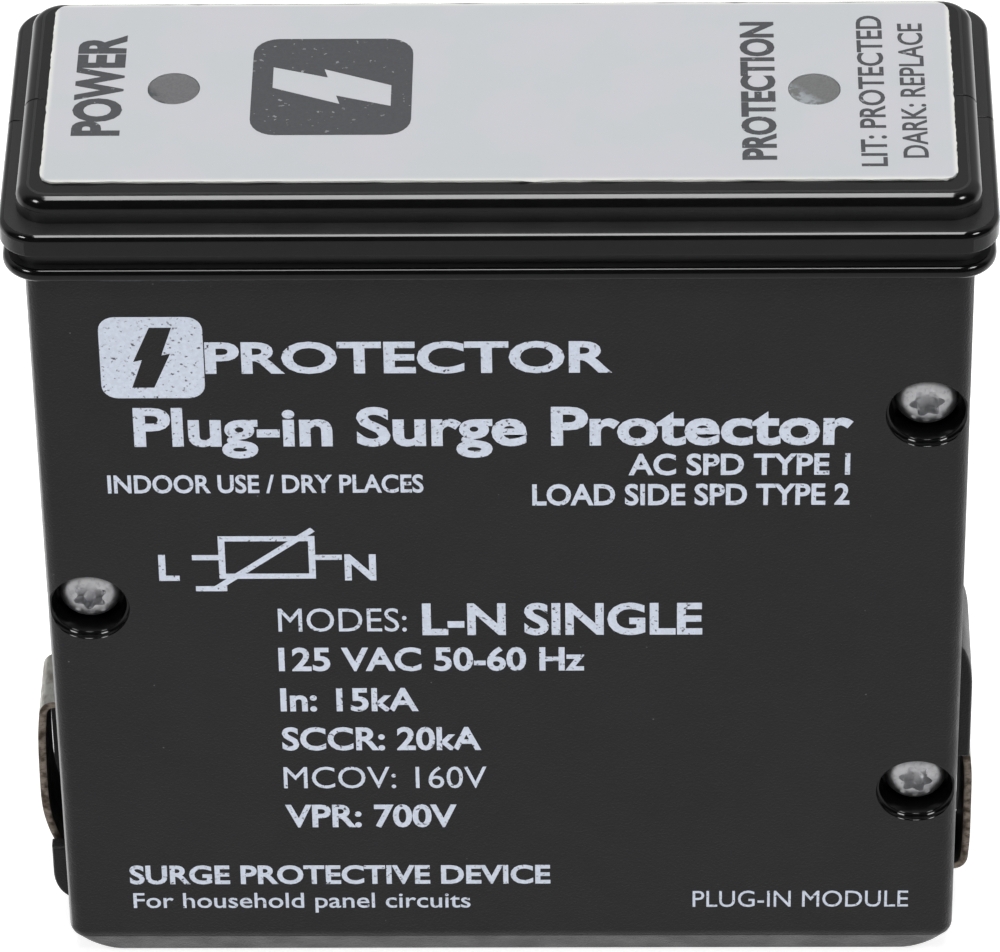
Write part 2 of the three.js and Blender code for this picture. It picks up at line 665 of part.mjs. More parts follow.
/** Domed thread-forming screw, its head towards -Y. */
function housingScrew({ x, z }) {
  const profile = [new THREE.Vector2(0, 0), new THREE.Vector2(SCREW_HEAD_RADIUS, 0)];
  const rim = SCREW_RIM_HEIGHT;
  profile.push(new THREE.Vector2(SCREW_HEAD_RADIUS, rim));
  const steps = 4;
  for (let i = 1; i <= steps; i += 1) {
    const angle = (i / steps) * (Math.PI / 2);
    const radius = i === steps ? 0 : SCREW_HEAD_RADIUS * Math.cos(angle);
    const height = rim + (SCREW_HEAD_HEIGHT - rim) * Math.sin(angle);
    profile.push(new THREE.Vector2(radius, height));
  }
  const head = new THREE.LatheGeometry(profile, 24);
  head.rotateZ(Math.PI).translate(x, SCREW_SEAT_Y, z);
  const top = SCREW_SEAT_Y - SCREW_HEAD_HEIGHT;
  const recess = prismY(lobeShape(RECESS_RADIUS), top - BEYOND, top + RECESS_DEPTH);
  const tip = SCREW_SEAT_Y + SCREW_LENGTH;
  return solid(head)
    .subtract(recess.translate([x, 0, z]))
    .add(cylinderY(x, z, SCREW_SHANK_RADIUS, SCREW_SEAT_Y - 0.2, tip, 16));
}

// ---------------------------------------------------------------- contacts and terminals

/** Centre line of a contact strip as points { out, z }, out being measured from the wall plane. */
function contactLine(side) {
  const along = (distance) => side.anchorZ + side.up * distance;
  const line = new THREE.SplineCurve([
    new THREE.Vector2(side.shoulder - 0.02, along(1.1)),
    new THREE.Vector2((side.shoulder + side.crest) / 2 + 0.05, along(side.length * 0.22)),
    new THREE.Vector2(side.crest, along(side.length * 0.45)),
    new THREE.Vector2(side.crest - 0.04, along(side.length * 0.7)),
    new THREE.Vector2((side.crest + side.tail) / 2 + 0.12, along(side.length * 0.88)),
    new THREE.Vector2(side.tail, along(side.length)),
  ]);
  const bend = new THREE.QuadraticBezierCurve(
    new THREE.Vector2(side.shoulder - 1.15, side.anchorZ),
    new THREE.Vector2(side.shoulder - 0.12, side.anchorZ),
    new THREE.Vector2(side.shoulder - 0.02, along(1.1)),
  );
  return [
    new THREE.Vector2(-CONTACT_LEG - WALL + 1, side.anchorZ),
    ...bend.getPoints(6),
    ...line.getPoints(22).slice(1),
  ];
}

/** Bowed contact strip: a plated spring with one leg through the wall. */
function contactSpring(side) {
  const line = contactLine(side);
  const half = CONTACT_THICKNESS / 2;
  const edges = { near: [], far: [] };
  line.forEach((point, i) => {
    const before = line[Math.max(i - 1, 0)];
    const after = line[Math.min(i + 1, line.length - 1)];
    const direction = after.clone().sub(before).normalize();
    const normal = new THREE.Vector2(-direction.y, direction.x).multiplyScalar(half);
    edges.near.push(point.clone().add(normal));
    edges.far.push(point.clone().sub(normal));
  });
  const outline = [...edges.near, ...edges.far.reverse()].map(
    (point) => new THREE.Vector2(side.sign * (HALF_WIDTH + point.x), point.y),
  );
  return prismY(new THREE.Shape(outline), CONTACT_FRONT_Y, CONTACT_FRONT_Y + CONTACT_WIDTH);
}

/** Angle bracket that ties a contact's leg to the circuit board. */
function terminal(side) {
  const outerX = HALF_WIDTH - CONTACT_LEG - WALL + 1 - TERMINAL_GAP;
  const innerX = outerX - TERMINAL_THICKNESS;
  const footY = BOARD_FRONT_Y - SEAT_GAP;
  const corners = [
    [outerX, CONTACT_FRONT_Y],
    [outerX, footY],
    [outerX - TERMINAL_FOOT, footY],
    [outerX - TERMINAL_FOOT, footY - TERMINAL_THICKNESS],
    [innerX, footY - TERMINAL_THICKNESS],
    [innerX, CONTACT_FRONT_Y],
  ];
  const outline = corners.map(([x, y]) => new THREE.Vector2(side.sign * x, y));
  const low = side.anchorZ - TERMINAL_HEIGHT / 2;
  return prismZ(new THREE.Shape(outline), low, low + TERMINAL_HEIGHT);
}

// ---------------------------------------------------------------- electronics

/** Leads that dive through the board; each is { x, z, radius }. */
const boardHoles = [];

/** A lead from a place in front of the board, straight back through it. */
function straightLead(x, z, radius, fromY) {
  boardHoles.push({ x, z, radius });
  return cylinderY(x, z, radius, fromY, TAIL_Y, 6);
}

/** A lead that leaves along `from` -> `over` and then turns back through the board. */
function bentLead(from, over, radius) {
  const [x, , z] = over;
  boardHoles.push({ x, z, radius });
  return wire([from, over, [x, TAIL_Y, z]], radius);
}

function varistor({ x, z }) {
  const back = BOARD_FRONT_Y - VARISTOR_STANDOFF;
  const front = back - VARISTOR_THICKNESS;
  const soft = 0.9;
  const profile = [
    [0, front],
    [VARISTOR_RADIUS - soft, front],
    [VARISTOR_RADIUS, front + soft],
    [VARISTOR_RADIUS, back - soft],
    [VARISTOR_RADIUS - soft, back],
    [0, back],
  ].map(([radius, y]) => new THREE.Vector2(radius, y));
  const disc = solid(new THREE.LatheGeometry(profile, 28).translate(x, 0, z));
  const mid = (front + back) / 2;
  const leadZ = z - VARISTOR_RADIUS - 1.6;
  const leads = [-1, 1].map((sign) => {
    const leadX = x + (sign * VARISTOR_PITCH) / 2;
    const from = [leadX, mid, z - VARISTOR_RADIUS + 2.5];
    return bentLead(from, [leadX, mid, leadZ], VARISTOR_LEAD_RADIUS);
  });
  return joined([disc, ...leads]);
}

/** Axial part lying along X in front of a varistor. */
function thermalFuse({ x, z }) {
  const varistorFront = BOARD_FRONT_Y - VARISTOR_STANDOFF - VARISTOR_THICKNESS;
  const y = varistorFront - THERMAL_FUSE_RADIUS - 0.1;
  const body = new THREE.CylinderGeometry(
    THERMAL_FUSE_RADIUS,
    THERMAL_FUSE_RADIUS,
    THERMAL_FUSE_LENGTH,
    16,
  );
  body.rotateZ(Math.PI / 2).translate(x, y, z);
  const leads = [-1, 1].map((sign) => {
    const bendX = x + sign * (VARISTOR_RADIUS + 1.4);
    const from = [x + sign * (THERMAL_FUSE_LENGTH / 2 - 0.5), y, z];
    return bentLead(from, [bendX, y, z], THERMAL_FUSE_LEAD_RADIUS);
  });
  return joined([solid(body), ...leads]);
}

/** Axial part standing along Z, made of stacked cylinders { radius, from, to }. */
function axialUpright({ x, z }, y, sections, pitch, leadRadius) {
  const bodies = sections.map(({ radius, from, to }) => cylinderZ(x, y, radius, from, to, 14));
  const ends = [sections[0].from + 0.3, sections[sections.length - 1].to - 0.3];
  const leads = [-1, 1].map((sign, i) => {
    const leadZ = z + (sign * pitch) / 2;
    return bentLead([x, y, ends[i]], [x, y, leadZ], leadRadius);
  });
  return joined([...bodies, ...leads]);
}

function lineFuse() {
  const { z, radius, length, cap, leadRadius } = LINE_FUSE;
  const low = z - length / 2;
  const high = z + length / 2;
  const sections = [
    { radius, from: low, to: low + cap },
    { radius: radius - 0.25, from: low + cap, to: high - cap },
    { radius, from: high - cap, to: high },
  ];
  return axialUpright(LINE_FUSE, BOARD_FRONT_Y - radius - 0.8, sections, length + 7, leadRadius);
}

/** A small axial part with slightly thicker ends, such as a resistor or a diode. */
function smallAxial(place, kind) {
  const { radius, length, waist, leadRadius, pitch } = kind;
  const low = place.z - length / 2;
  const high = place.z + length / 2;
  const end = length / 4;
  const sections = [
    { radius, from: low, to: low + end },
    { radius: waist, from: low + end, to: high - end },
    { radius, from: high - end, to: high },
  ];
  return axialUpright(place, BOARD_FRONT_Y - radius - 0.4, sections, pitch, leadRadius);
}

function filmCapacitor() {
  const { x, z, width, height, depth, pitch, leadRadius } = CAPACITOR;
  const back = BOARD_FRONT_Y - 0.4;
  const edge = 0.8;
  const shape = new THREE.Shape();
  const halfX = width / 2 - edge;
  const halfZ = height / 2 - edge;
  shape.absarc(x + halfX, z - halfZ, edge, -Math.PI / 2, 0);
  shape.absarc(x + halfX, z + halfZ, edge, 0, Math.PI / 2);
  shape.absarc(x - halfX, z + halfZ, edge, Math.PI / 2, Math.PI);
  shape.absarc(x - halfX, z - halfZ, edge, Math.PI, 1.5 * Math.PI);
  const leads = [-1, 1].map((sign) =>
    straightLead(x + (sign * pitch) / 2, z, leadRadius, back - 1),
  );
  return joined([prismY(shape, back - depth, back, 3), ...leads]);
}

/** Lamp under a light pipe: a domed resin body with a flange and two long leads. */
function lamp({ x, y }) {
  const top = PIPE_END - LED_TO_PIPE;
  const base = top - LED.height;
  const profile = [
    [0, 0],
    [LED.flange, 0],
    [LED.flange, 0.8],
    [LED.radius, 0.8],
    [LED.radius, LED.height - LED.radius],
    [LED.radius * 0.87, LED.height - LED.radius / 2],
    [LED.radius * 0.5, LED.height - LED.radius * 0.13],
    [0, LED.height],
  ].map(([radius, height]) => new THREE.Vector2(radius, height));
  const dome = new THREE.LatheGeometry(profile, 16).rotateX(Math.PI / 2).translate(x, y, base);
  const frontY = BOARD_FRONT_Y - LED.leadRadius - 0.5;
  const leads = [-1, 1].map((sign) => {
    const leadX = x + (sign * LED.pitch) / 2;
    const holeZ = base - LED.leadDrop;
    boardHoles.push({ x: leadX, z: holeZ, radius: LED.leadRadius });
    const route = [
      [leadX, y, base + 0.3],
      [leadX, y, base - 0.9],
      [leadX, frontY, base - 1.7],
      [leadX, frontY, holeZ],
      [leadX, TAIL_Y, holeZ],
    ];
    return wire(route, LED.leadRadius);
  });
  return joined([solid(dome), ...leads]);
}

function senseTransistor() {
  const { x, z, radius, height, standoff, pitch } = TRANSISTOR;
  const back = BOARD_FRONT_Y - standoff;
  const shape = new THREE.Shape();
  shape.absarc(x, z, radius, Math.PI * 1.8, Math.PI * 1.2, false);
  shape.closePath();
  const leads = [-1, 0, 1].map((step) =>
    straightLead(x + step * pitch, z, TRANSISTOR_LEAD_RADIUS, back - 1),
  );
  return joined([prismY(shape, back - height, back, 8), ...leads]);
}

/** Copper strap that carries the surge current along the board. */
function busLink() {
  const { x, z, width, height, thickness, rise, foot } = BUS_LINK;
  const face = BOARD_FRONT_Y - SEAT_GAP;
  const half = width / 2;
  const corners = [
    [-half, face],
    [-half + foot + thickness, face],
    [-half + foot + thickness, face - rise + thickness],
    [half - foot - thickness, face - rise + thickness],
    [half - foot - thickness, face],
    [half, face],
    [half, face - thickness],
    [half - foot, face - thickness],
    [half - foot, face - rise],
    [-half + foot, face - rise],
    [-half + foot, face - thickness],
    [-half, face - thickness],
  ];
  const outline = corners.map(([dx, y]) => new THREE.Vector2(x + dx, y));
  return prismZ(new THREE.Shape(outline), z - height / 2, z + height / 2);
}

/** Cuts that keep a flat sheet clear of the screw bosses, and of the posts if `withPosts`. */
function bossCuts(y0, y1, withPosts) {
  const cuts = Object.values(SCREWS).map(({ x, z }) =>
    cylinderY(x, z, REAR_BOSS_RADIUS + BOARD_NOTCH_GAP, y0, y1, 20),
  );
  const posts = POSTS.map(({ x, z }) =>
    cylinderY(x, z, POST_RADIUS + BOARD_NOTCH_GAP, y0, y1, 12),
  );
  return joined(withPosts ? [...cuts, ...posts] : cuts);
}

/** The board, with a hole for every lead that has been made so far. */
function circuitBoard() {
  const low = [-BOARD_HALF_WIDTH, BOARD_FRONT_Y, BOARD_BOTTOM];
  const high = [BOARD_HALF_WIDTH, BOARD_BACK_Y, BOARD_TOP];
  const holes = boardHoles.map(({ x, z, radius }) =>
    cylinderY(x, z, radius + HOLE_CLEARANCE, BOARD_FRONT_Y - 1, BOARD_BACK_Y + 1, 6),
  );
  return box(low, high)
    .subtract(bossCuts(BOARD_FRONT_Y - 1, BOARD_BACK_Y + 1, false))
    .subtract(joined(holes));
}

function insulatingSheet() {
  const halfX = HALF_WIDTH - WALL - SHEET_MARGIN;
  const low = [-halfX, SHEET_Y, BOARD_BOTTOM];
  const high = [halfX, SHEET_Y + SHEET_THICKNESS, BOARD_TOP];
  return box(low, high).subtract(bossCuts(SHEET_Y - 1, SHEET_Y + SHEET_THICKNESS + 1, true));
}

// ---------------------------------------------------------------- assembly

const part = new THREE.Group();

/** Adds one named piece to the part. */
function place(name, manifold, material) {
  const mesh = new THREE.Mesh(geometryOf(manifold), material);
  mesh.name = name;
  part.add(mesh);
}

place('front_shell', frontShell(), plastic);
place('rear_shell', rearShell(), plastic);
place('top_label', topLabel(), overlay);
place('power_window', lightPipe(POWER_WINDOW), smoked);
place('protection_window', lightPipe(PROTECTION_WINDOW), smoked);
for (const [name, spot] of Object.entries(SCREWS)) place(name, housingScrew(spot), zinc);

place('left_contact_spring', contactSpring(LEFT_SIDE), plated);
place('right_contact_spring', contactSpring(RIGHT_SIDE), plated);
place('left_terminal', terminal(LEFT_SIDE), tinned);
place('right_terminal', terminal(RIGHT_SIDE), tinned);

Object.entries(VARISTORS).forEach(([name, spot], i) => {
  place(name, varistor(spot), coating);
  place(`thermal_fuse_${i + 1}`, thermalFuse(spot), ceramic);
});
place('line_fuse', lineFuse(), ceramic);
place('film_capacitor', filmCapacitor(), capacitorCase);
place('power_led', lamp(POWER_WINDOW), ledResin);
place('protection_led', lamp(PROTECTION_WINDOW), ledResin);
for (const [name, spot] of Object.entries(RESISTORS)) {
  place(name, smallAxial(spot, RESISTOR), resistorBody);
}
for (const [name, spot] of Object.entries(DIODES)) place(name, smallAxial(spot, DIODE), moulded);
place('sense_transistor', senseTransistor(), moulded);
place('bus_link', busLink(), copper);
place('circuit_board', circuitBoard(), glassEpoxy);
place('insulating_sheet', insulatingSheet(), fishPaper);

export default part;
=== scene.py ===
"""Looks for a plug-in surge protection module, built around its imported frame.

Sizes in this file are millimetres. A piece is modelled in millimetres at its place and is brought
to metres when it is handed over, so its object ends at the origin, unturned and unscaled.
"""

from __future__ import annotations

import logging
import math
from contextlib import contextmanager
from dataclasses import dataclass
from enum import Enum
from typing import Callable, Iterator, Sequence

import bmesh
import bpy
from mathutils import Matrix, Vector


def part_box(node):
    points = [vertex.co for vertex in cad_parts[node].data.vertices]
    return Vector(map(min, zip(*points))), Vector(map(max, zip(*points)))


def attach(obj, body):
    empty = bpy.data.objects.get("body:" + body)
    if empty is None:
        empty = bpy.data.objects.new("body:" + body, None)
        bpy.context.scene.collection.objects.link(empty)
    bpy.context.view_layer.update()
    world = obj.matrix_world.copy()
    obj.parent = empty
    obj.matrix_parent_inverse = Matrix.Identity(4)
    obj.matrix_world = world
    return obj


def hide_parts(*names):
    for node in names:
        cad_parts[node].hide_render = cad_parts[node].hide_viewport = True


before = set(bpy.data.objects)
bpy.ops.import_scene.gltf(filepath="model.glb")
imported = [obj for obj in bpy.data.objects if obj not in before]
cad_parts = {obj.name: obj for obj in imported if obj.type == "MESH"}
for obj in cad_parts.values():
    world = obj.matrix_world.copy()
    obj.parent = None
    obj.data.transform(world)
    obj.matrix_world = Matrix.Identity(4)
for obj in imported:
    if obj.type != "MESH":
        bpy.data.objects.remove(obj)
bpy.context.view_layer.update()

MM = 0.001
TINY = 0.01
ALIGNED = 0.99
SCREW_TURNS = {"screw_upper_right": 8.0, "screw_left": 24.0, "screw_lower_right": -11.0}
WINDOW_NODES = ("power_window", "protection_window")

Colour = tuple[float, float, float]
Point = tuple[float, float, float]
Piece = bpy.types.Object
Material = bpy.types.Material
Socket = bpy.types.NodeSocket
Edge = bmesh.types.BMEdge
Face = bmesh.types.BMFace

log = logging.getLogger("surge_module")


class Body(Enum):
    """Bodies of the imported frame."""

    HOUSING = "housing"
    LEFT = "left_contact"
    RIGHT = "right_contact"


class Slot(Enum):
    """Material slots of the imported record."""

    HOUSING = "housing_plastic"
    LABEL = "label_overlay"
    LENS = "smoked_lens"
    SCREW = "screw_zinc"
    CONTACT = "contact_plating"
    TINNED = "tinned_metal"
    COPPER = "copper"
    BOARD = "board_laminate"
    VARISTOR = "varistor_coating"
    FUSE = "fuse_ceramic"
    CAPACITOR = "capacitor_case"
    LED = "led_resin"
    RESISTOR = "resistor_body"
    EPOXY = "black_epoxy"
    PAPER = "fish_paper"


class Join(Enum):
    """Ways in which one solid acts on another."""

    ADD = "UNION"
    CUT = "DIFFERENCE"
    KEEP = "INTERSECT"


class Pick(Enum):
    """Kinds of mesh element that an edit works on."""

    FACES = "FACE"
    EDGES = "EDGE"
    VERTS = "VERT"


# ------------------------------------------------------------------------------ bench work


def hold(piece: Piece) -> None:
    """Makes a piece the only selected and active one."""
    bpy.ops.object.select_all(action="DESELECT")
    piece.select_set(True)
    bpy.context.view_layer.objects.active = piece


def settle(piece: Piece) -> None:
    """Applies a piece's place, turn and size to its mesh."""
    hold(piece)
    bpy.ops.object.transform_apply(location=True, rotation=True, scale=True)


def block(low: Point, high: Point) -> Piece:
    """Adds a block between two opposite corners.

    Args:
        low: Lowest corner.
        high: Highest corner.

    Returns:
        The block, with its place in its mesh.
    """
    bpy.ops.object.select_all(action="DESELECT")
    middle = [(a + b) / 2 for a, b in zip(low, high)]
    bpy.ops.mesh.primitive_cube_add(size=1, location=middle)
    piece = bpy.context.object
    piece.scale = [b - a for a, b in zip(low, high)]
    settle(piece)
    return piece


def rod(start: Point, end: Point, radius: float, sides: int = 48) -> Piece:
    """Adds a cylinder between two points.

    Args:
        start: Centre of one end.
        end: Centre of the other end.
        radius: Radius of the cylinder.
        sides: Number of sides.

    Returns:
        The cylinder, with its place in its mesh.
    """
    bpy.ops.object.select_all(action="DESELECT")
    axis = Vector(end) - Vector(start)
    middle = (Vector(start) + Vector(end)) / 2
    bpy.ops.mesh.primitive_cylinder_add(
        vertices=sides, radius=radius, depth=axis.length, location=middle
    )
    piece = bpy.context.object
    piece.rotation_euler = axis.to_track_quat("Z", "Y").to_euler()
    settle(piece)
    return piece


@contextmanager
def editing(piece: Piece, kind: Pick = Pick.FACES) -> Iterator[None]:
    """Holds a piece in edit mode with nothing selected.

    Args:
        piece: The piece to edit.
        kind: The kind of element that is selected.
    """
    hold(piece)
    bpy.ops.object.mode_set(mode="EDIT")
    bpy.ops.mesh.select_mode(type=kind.value)
    bpy.ops.mesh.select_all(action="DESELECT")
    yield
    bpy.ops.object.mode_set(mode="OBJECT")


def _select(kind: str, test: Callable) -> int:
    """Selects the elements of the edited mesh that pass a test, and nothing else."""
    bpy.ops.mesh.select_all(action="DESELECT")
    mesh = bmesh.from_edit_mesh(bpy.context.edit_object.data)
    chosen = [element for element in getattr(mesh, kind) if test(element)]
    for element in chosen:
        element.select_set(True)
    mesh.select_flush_mode()
    bmesh.update_edit_mesh(bpy.context.edit_object.data)
    return len(chosen)


def pick_faces(test: Callable[[Face], bool]) -> int:
    """Selects the faces that pass a test and returns their number."""
    return _select("faces", test)


def pick_edges(test: Callable[[Edge], bool]) -> int:
    """Selects the edges that pass a test and returns their number."""
    return _select("edges", test)


def pick_verts(test: Callable[[Vector], bool]) -> int:
    """Selects the vertices whose place passes a test and returns their number."""
    return _select("verts", lambda vert: test(vert.co))


def at_level(edge: Edge, z: float) -> bool:
    """Tells whether an edge lies on a level."""
    return all(abs(vert.co.z - z) < TINY for vert in edge.verts)


def upright(edge: Edge) -> bool:
    """Tells whether an edge stands along Z."""
    first, second = (vert.co for vert in edge.verts)
    return (first.xy - second.xy).length < TINY


def facing(face: Face, direction: Point, z: float) -> bool:
    """Tells whether a face looks along a direction and lies at one height."""
    level = all(abs(vert.co.z - z) < TINY / 10 for vert in face.verts)
    return level and face.normal.dot(Vector(direction)) > ALIGNED


def round_edges(width: float, segments: int) -> None:
    """Rounds the selected edges of the edited mesh."""
    bpy.ops.mesh.bevel(
        offset=width, segments=segments, profile=0.5, affect="EDGES", clamp_overlap=False
    )


def pull(move: Point) -> None:
    """Extrudes what is selected and moves the new end."""
    bpy.ops.mesh.extrude_region_move(TRANSFORM_OT_translate={"value": move})


def pull_ring(move: Point, scale: Point, centre: Point) -> None:
    """Extrudes what is selected, moves the new end and resizes it about a centre."""
    pull(move)
    bpy.ops.transform.resize(value=scale, center_override=centre)


def combine(piece: Piece, others: Sequence[Piece], way: Join) -> Piece:
    """Joins, cuts or keeps a piece with other solids, which are used up.

    Args:
        piece: The solid that is changed.
        others: The solids that act on it, one after another.
        way: What they do to it.

    Returns:
        The changed piece.
    """
    for other in others:
        hold(piece)
        modifier = piece.modifiers.new("combine", "BOOLEAN")
        modifier.operation = way.value
        modifier.object = other
        modifier.solver = "MANIFOLD"
        bpy.ops.object.modifier_apply(modifier=modifier.name)
        bpy.data.objects.remove(other, do_unlink=True)
    return piece


def twin(piece: Piece) -> Piece:
    """Copies a piece with a mesh of its own."""
    hold(piece)
    bpy.ops.object.duplicate(linked=False)
    return bpy.context.object


def rounded_block(low: Point, high: Point, corner: float, top: float, bottom: float) -> Piece:
    """Adds a block with rounded upright edges and softened rims.

    Args:
        low: Lowest corner.
        high: Highest corner.
        corner: Radius of the four upright edges.
        top: Fillet of the upper rim, or 0.
        bottom: Fillet of the lower rim, or 0.

    Returns:
        The block.
    """
    piece = block(low, high)
    with editing(piece, Pick.EDGES):
        pick_edges(upright)
        round_edges(corner, 10)
        for level, fillet in ((high[2], top), (low[2], bottom)):
            if fillet:
                pick_edges(lambda edge, level=level: at_level(edge, level))
                round_edges(fillet, 8 if fillet > 0.3 else 3)
    return piece


def smooth(piece: Piece, angle_deg: float) -> None:
    """Shades a piece smooth up to an angle, with flat faces kept flat."""
    hold(piece)
    bpy.ops.object.shade_smooth_by_angle(angle=math.radians(angle_deg))
    modifier = piece.modifiers.new("even_normals", "WEIGHTED_NORMAL")
    modifier.keep_sharp = True
    modifier.weight = 50
    bpy.ops.object.modifier_apply(modifier=modifier.name)


def hand_over(
    piece: Piece,
    name: str,
    body: Body,
    finishes: Sequence[Material],
    stands_for: Sequence[str] = (),
    angle_deg: float = 32.0,
) -> Piece:
    """Brings a finished piece to metres, dresses it and hangs it on its body.

    Args:
        piece: The piece, in millimetres.
        name: Its name.
        body: The body that it rides on.
        finishes: Its materials, in the order of its faces' material indices.
        stands_for: The nodes that it replaces.
        angle_deg: Angle up to which its shading is smooth.

    Returns:
        The piece.
    """
    piece.name = name
    piece.data.name = name
    indices = [face.material_index for face in piece.data.polygons]
    piece.data.materials.clear()
    for finish in finishes:
        piece.data.materials.append(finish)
    for face, index in zip(piece.data.polygons, indices):
        face.material_index = index
    piece.scale = (MM, MM, MM)
    settle(piece)
    smooth(piece, angle_deg)
    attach(piece, body.value)
    if stands_for:
        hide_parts(*stands_for)
    log.info("%s: %d faces on %s", name, len(piece.data.polygons), body.value)
    return piece


def node_box(node: str) -> tuple[Vector, Vector]:
    """Returns a node's lowest and highest corners in millimetres."""
    low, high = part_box(node)
    return low / MM, high / MM


def node_middle(node: str) -> Point:
    """Returns the middle of a node's box in millimetres."""
    return tuple((a + b) / 2 for a, b in zip(*node_box(node)))


def window_rods(bottom: float, top: float, radius: float, sides: int) -> list[Piece]:
    """Returns upright rods through the middles of the two windows."""
    middles = [node_middle(node) for node in WINDOW_NODES]
    return [rod((x, y, bottom), (x, y, top), radius, sides) for x, y, _ in middles]


# ------------------------------------------------------------------------------ finishes


class Recipe:
    """The node tree of one material, built up step by step."""

    def __init__(self, name: str) -> None:
        """Starts a material with a principled surface."""
        self.material = bpy.data.materials.new(name)
        self.material.use_nodes = True
        self.tree = self.material.node_tree
        self.tree.nodes.clear()
        output = self.add("ShaderNodeOutputMaterial")
        self.surface = self.add("ShaderNodeBsdfPrincipled")
        self.link(self.surface.outputs["BSDF"], output.inputs["Surface"])
        self.place = self.add("ShaderNodeTexCoord").outputs["Object"]

    def add(self, kind: str, **settings: object) -> bpy.types.Node:
        """Adds a node and sets its properties."""
        node = self.tree.nodes.new(kind)
        for key, value in settings.items():
            setattr(node, key, value)
        return node

    def link(self, source: Socket, target: Socket) -> None:
        """Joins an output to an input."""
        self.tree.links.new(source, target)

    def set(self, **values: object) -> None:
        """Sets sockets of the surface; a name's underscores stand for spaces."""
        for key, value in values.items():
            socket = self.surface.inputs[key.replace("_", " ")]
            if isinstance(value, Socket):
                self.link(value, socket)
            else:
                socket.default_value = value

    def stretched(self, stretch: Point) -> Socket:
        """Returns the object's coordinates, stretched along its axes."""
        mapping = self.add("ShaderNodeMapping")
        self.link(self.place, mapping.inputs["Vector"])
        mapping.inputs["Scale"].default_value = stretch
        return mapping.outputs["Vector"]

    def noise(
        self, size: float, detail: float = 2.0, place: Socket | None = None
    ) -> Socket:
        """Adds noise.

        Args:
            size: Size of its features in millimetres.
            detail: Number of finer layers.
            place: Coordinates, if not the object's own.

        Returns:
            A value from 0 to 1, mostly near 0.5.
        """
        node = self.add("ShaderNodeTexNoise")
        self.link(place or self.place, node.inputs["Vector"])
        node.inputs["Scale"].default_value = 1 / (size * MM)
        node.inputs["Detail"].default_value = detail
        return node.outputs["Fac"]

    def cells(self, size: float, randomness: float = 1.0) -> Socket:
        """Adds the distance to the nearest of scattered points, in shares of their spacing."""
        node = self.add("ShaderNodeTexVoronoi")
        self.link(self.place, node.inputs["Vector"])
        node.inputs["Scale"].default_value = 1 / (size * MM)
        node.inputs["Randomness"].default_value = randomness
        return node.outputs["Distance"]

    def stretch(
        self, value: Socket, low: float, high: float, to: tuple[float, float] = (0.0, 1.0)
    ) -> Socket:
        """Maps a value from one range to another, without overshoot."""
        node = self.add("ShaderNodeMapRange", interpolation_type="SMOOTHSTEP")
        self.link(value, node.inputs["Value"])
        node.inputs["From Min"].default_value = low
        node.inputs["From Max"].default_value = high
        node.inputs["To Min"].default_value = to[0]
        node.inputs["To Max"].default_value = to[1]
        return node.outputs["Result"]

    def math(
        self, operation: str, first: Socket, second: object = 0.0
    ) -> Socket:
        """Works out one value from one or two."""
        node = self.add("ShaderNodeMath", operation=operation)
        self.link(first, node.inputs[0])
        if isinstance(second, Socket):
            self.link(second, node.inputs[1])
        else:
            node.inputs[1].default_value = second
        return node.outputs["Value"]

    def blend(self, share: Socket, first: object, second: object) -> Socket:
        """Mixes two colours or colour sockets by a share."""
        node = self.add("ShaderNodeMix", data_type="RGBA")
        self.link(share, node.inputs["Factor"])
        for value, socket in ((first, node.inputs[6]), (second, node.inputs[7])):
            if isinstance(value, Socket):
                self.link(value, socket)
            else:
                socket.default_value = (*value, 1.0)
        return node.outputs[2]

    def relief(self, height: Socket, depth: float, strength: float = 1.0) -> None:
        """Bumps the surface.

        Args:
            height: Height from 0 to 1.
            depth: Height of a full step in millimetres.
            strength: Share of the effect.
        """
        node = self.add("ShaderNodeBump")
        self.link(height, node.inputs["Height"])
        node.inputs["Distance"].default_value = depth * MM
        node.inputs["Strength"].default_value = strength
        self.link(node.outputs["Normal"], self.surface.inputs["Normal"])


def shade(colour: Colour, factor: float) -> Colour:
    """Returns a colour made lighter or darker by a factor."""
    return tuple(min(channel * factor, 1.0) for channel in colour)


@dataclass(frozen=True)
class MouldedPlastic:
    """Moulded plastic: grained where the mould was spark-eroded, rippled where it was polished."""

    name: str
    colour: Colour
    roughness: float
    specular: float
    grain: float
    grain_depth: float
    specks: float = 0.0

    def build(self) -> Material:
        """Returns the material."""
        recipe = Recipe(self.name)
        grain = recipe.noise(self.grain, 3.0)
        drift = recipe.noise(14.0, 2.0)
        tone = recipe.blend(
            recipe.stretch(drift, 0.35, 0.65),
            shade(self.colour, 0.93),
            shade(self.colour, 1.08),
        )
        tone = recipe.blend(
            recipe.stretch(grain, 0.35, 0.7), tone, shade(self.colour, 1.22)
        )
        if self.specks:
            dust = recipe.stretch(recipe.cells(1.9), self.specks, self.specks * 0.5)
            patch = recipe.stretch(recipe.noise(4.0), 0.55, 0.62)
            share = recipe.math("MULTIPLY", dust, patch)
            tone = recipe.blend(share, tone, (0.13, 0.13, 0.14))
        wear = recipe.stretch(recipe.noise(3.2, 4.0), 0.3, 0.7, (-0.04, 0.05))
        recipe.set(
            Base_Color=tone,
            Roughness=recipe.math("ADD", wear, self.roughness),
            Specular_IOR_Level=self.specular,
        )
        recipe.relief(grain, self.grain_depth)
        return recipe.material


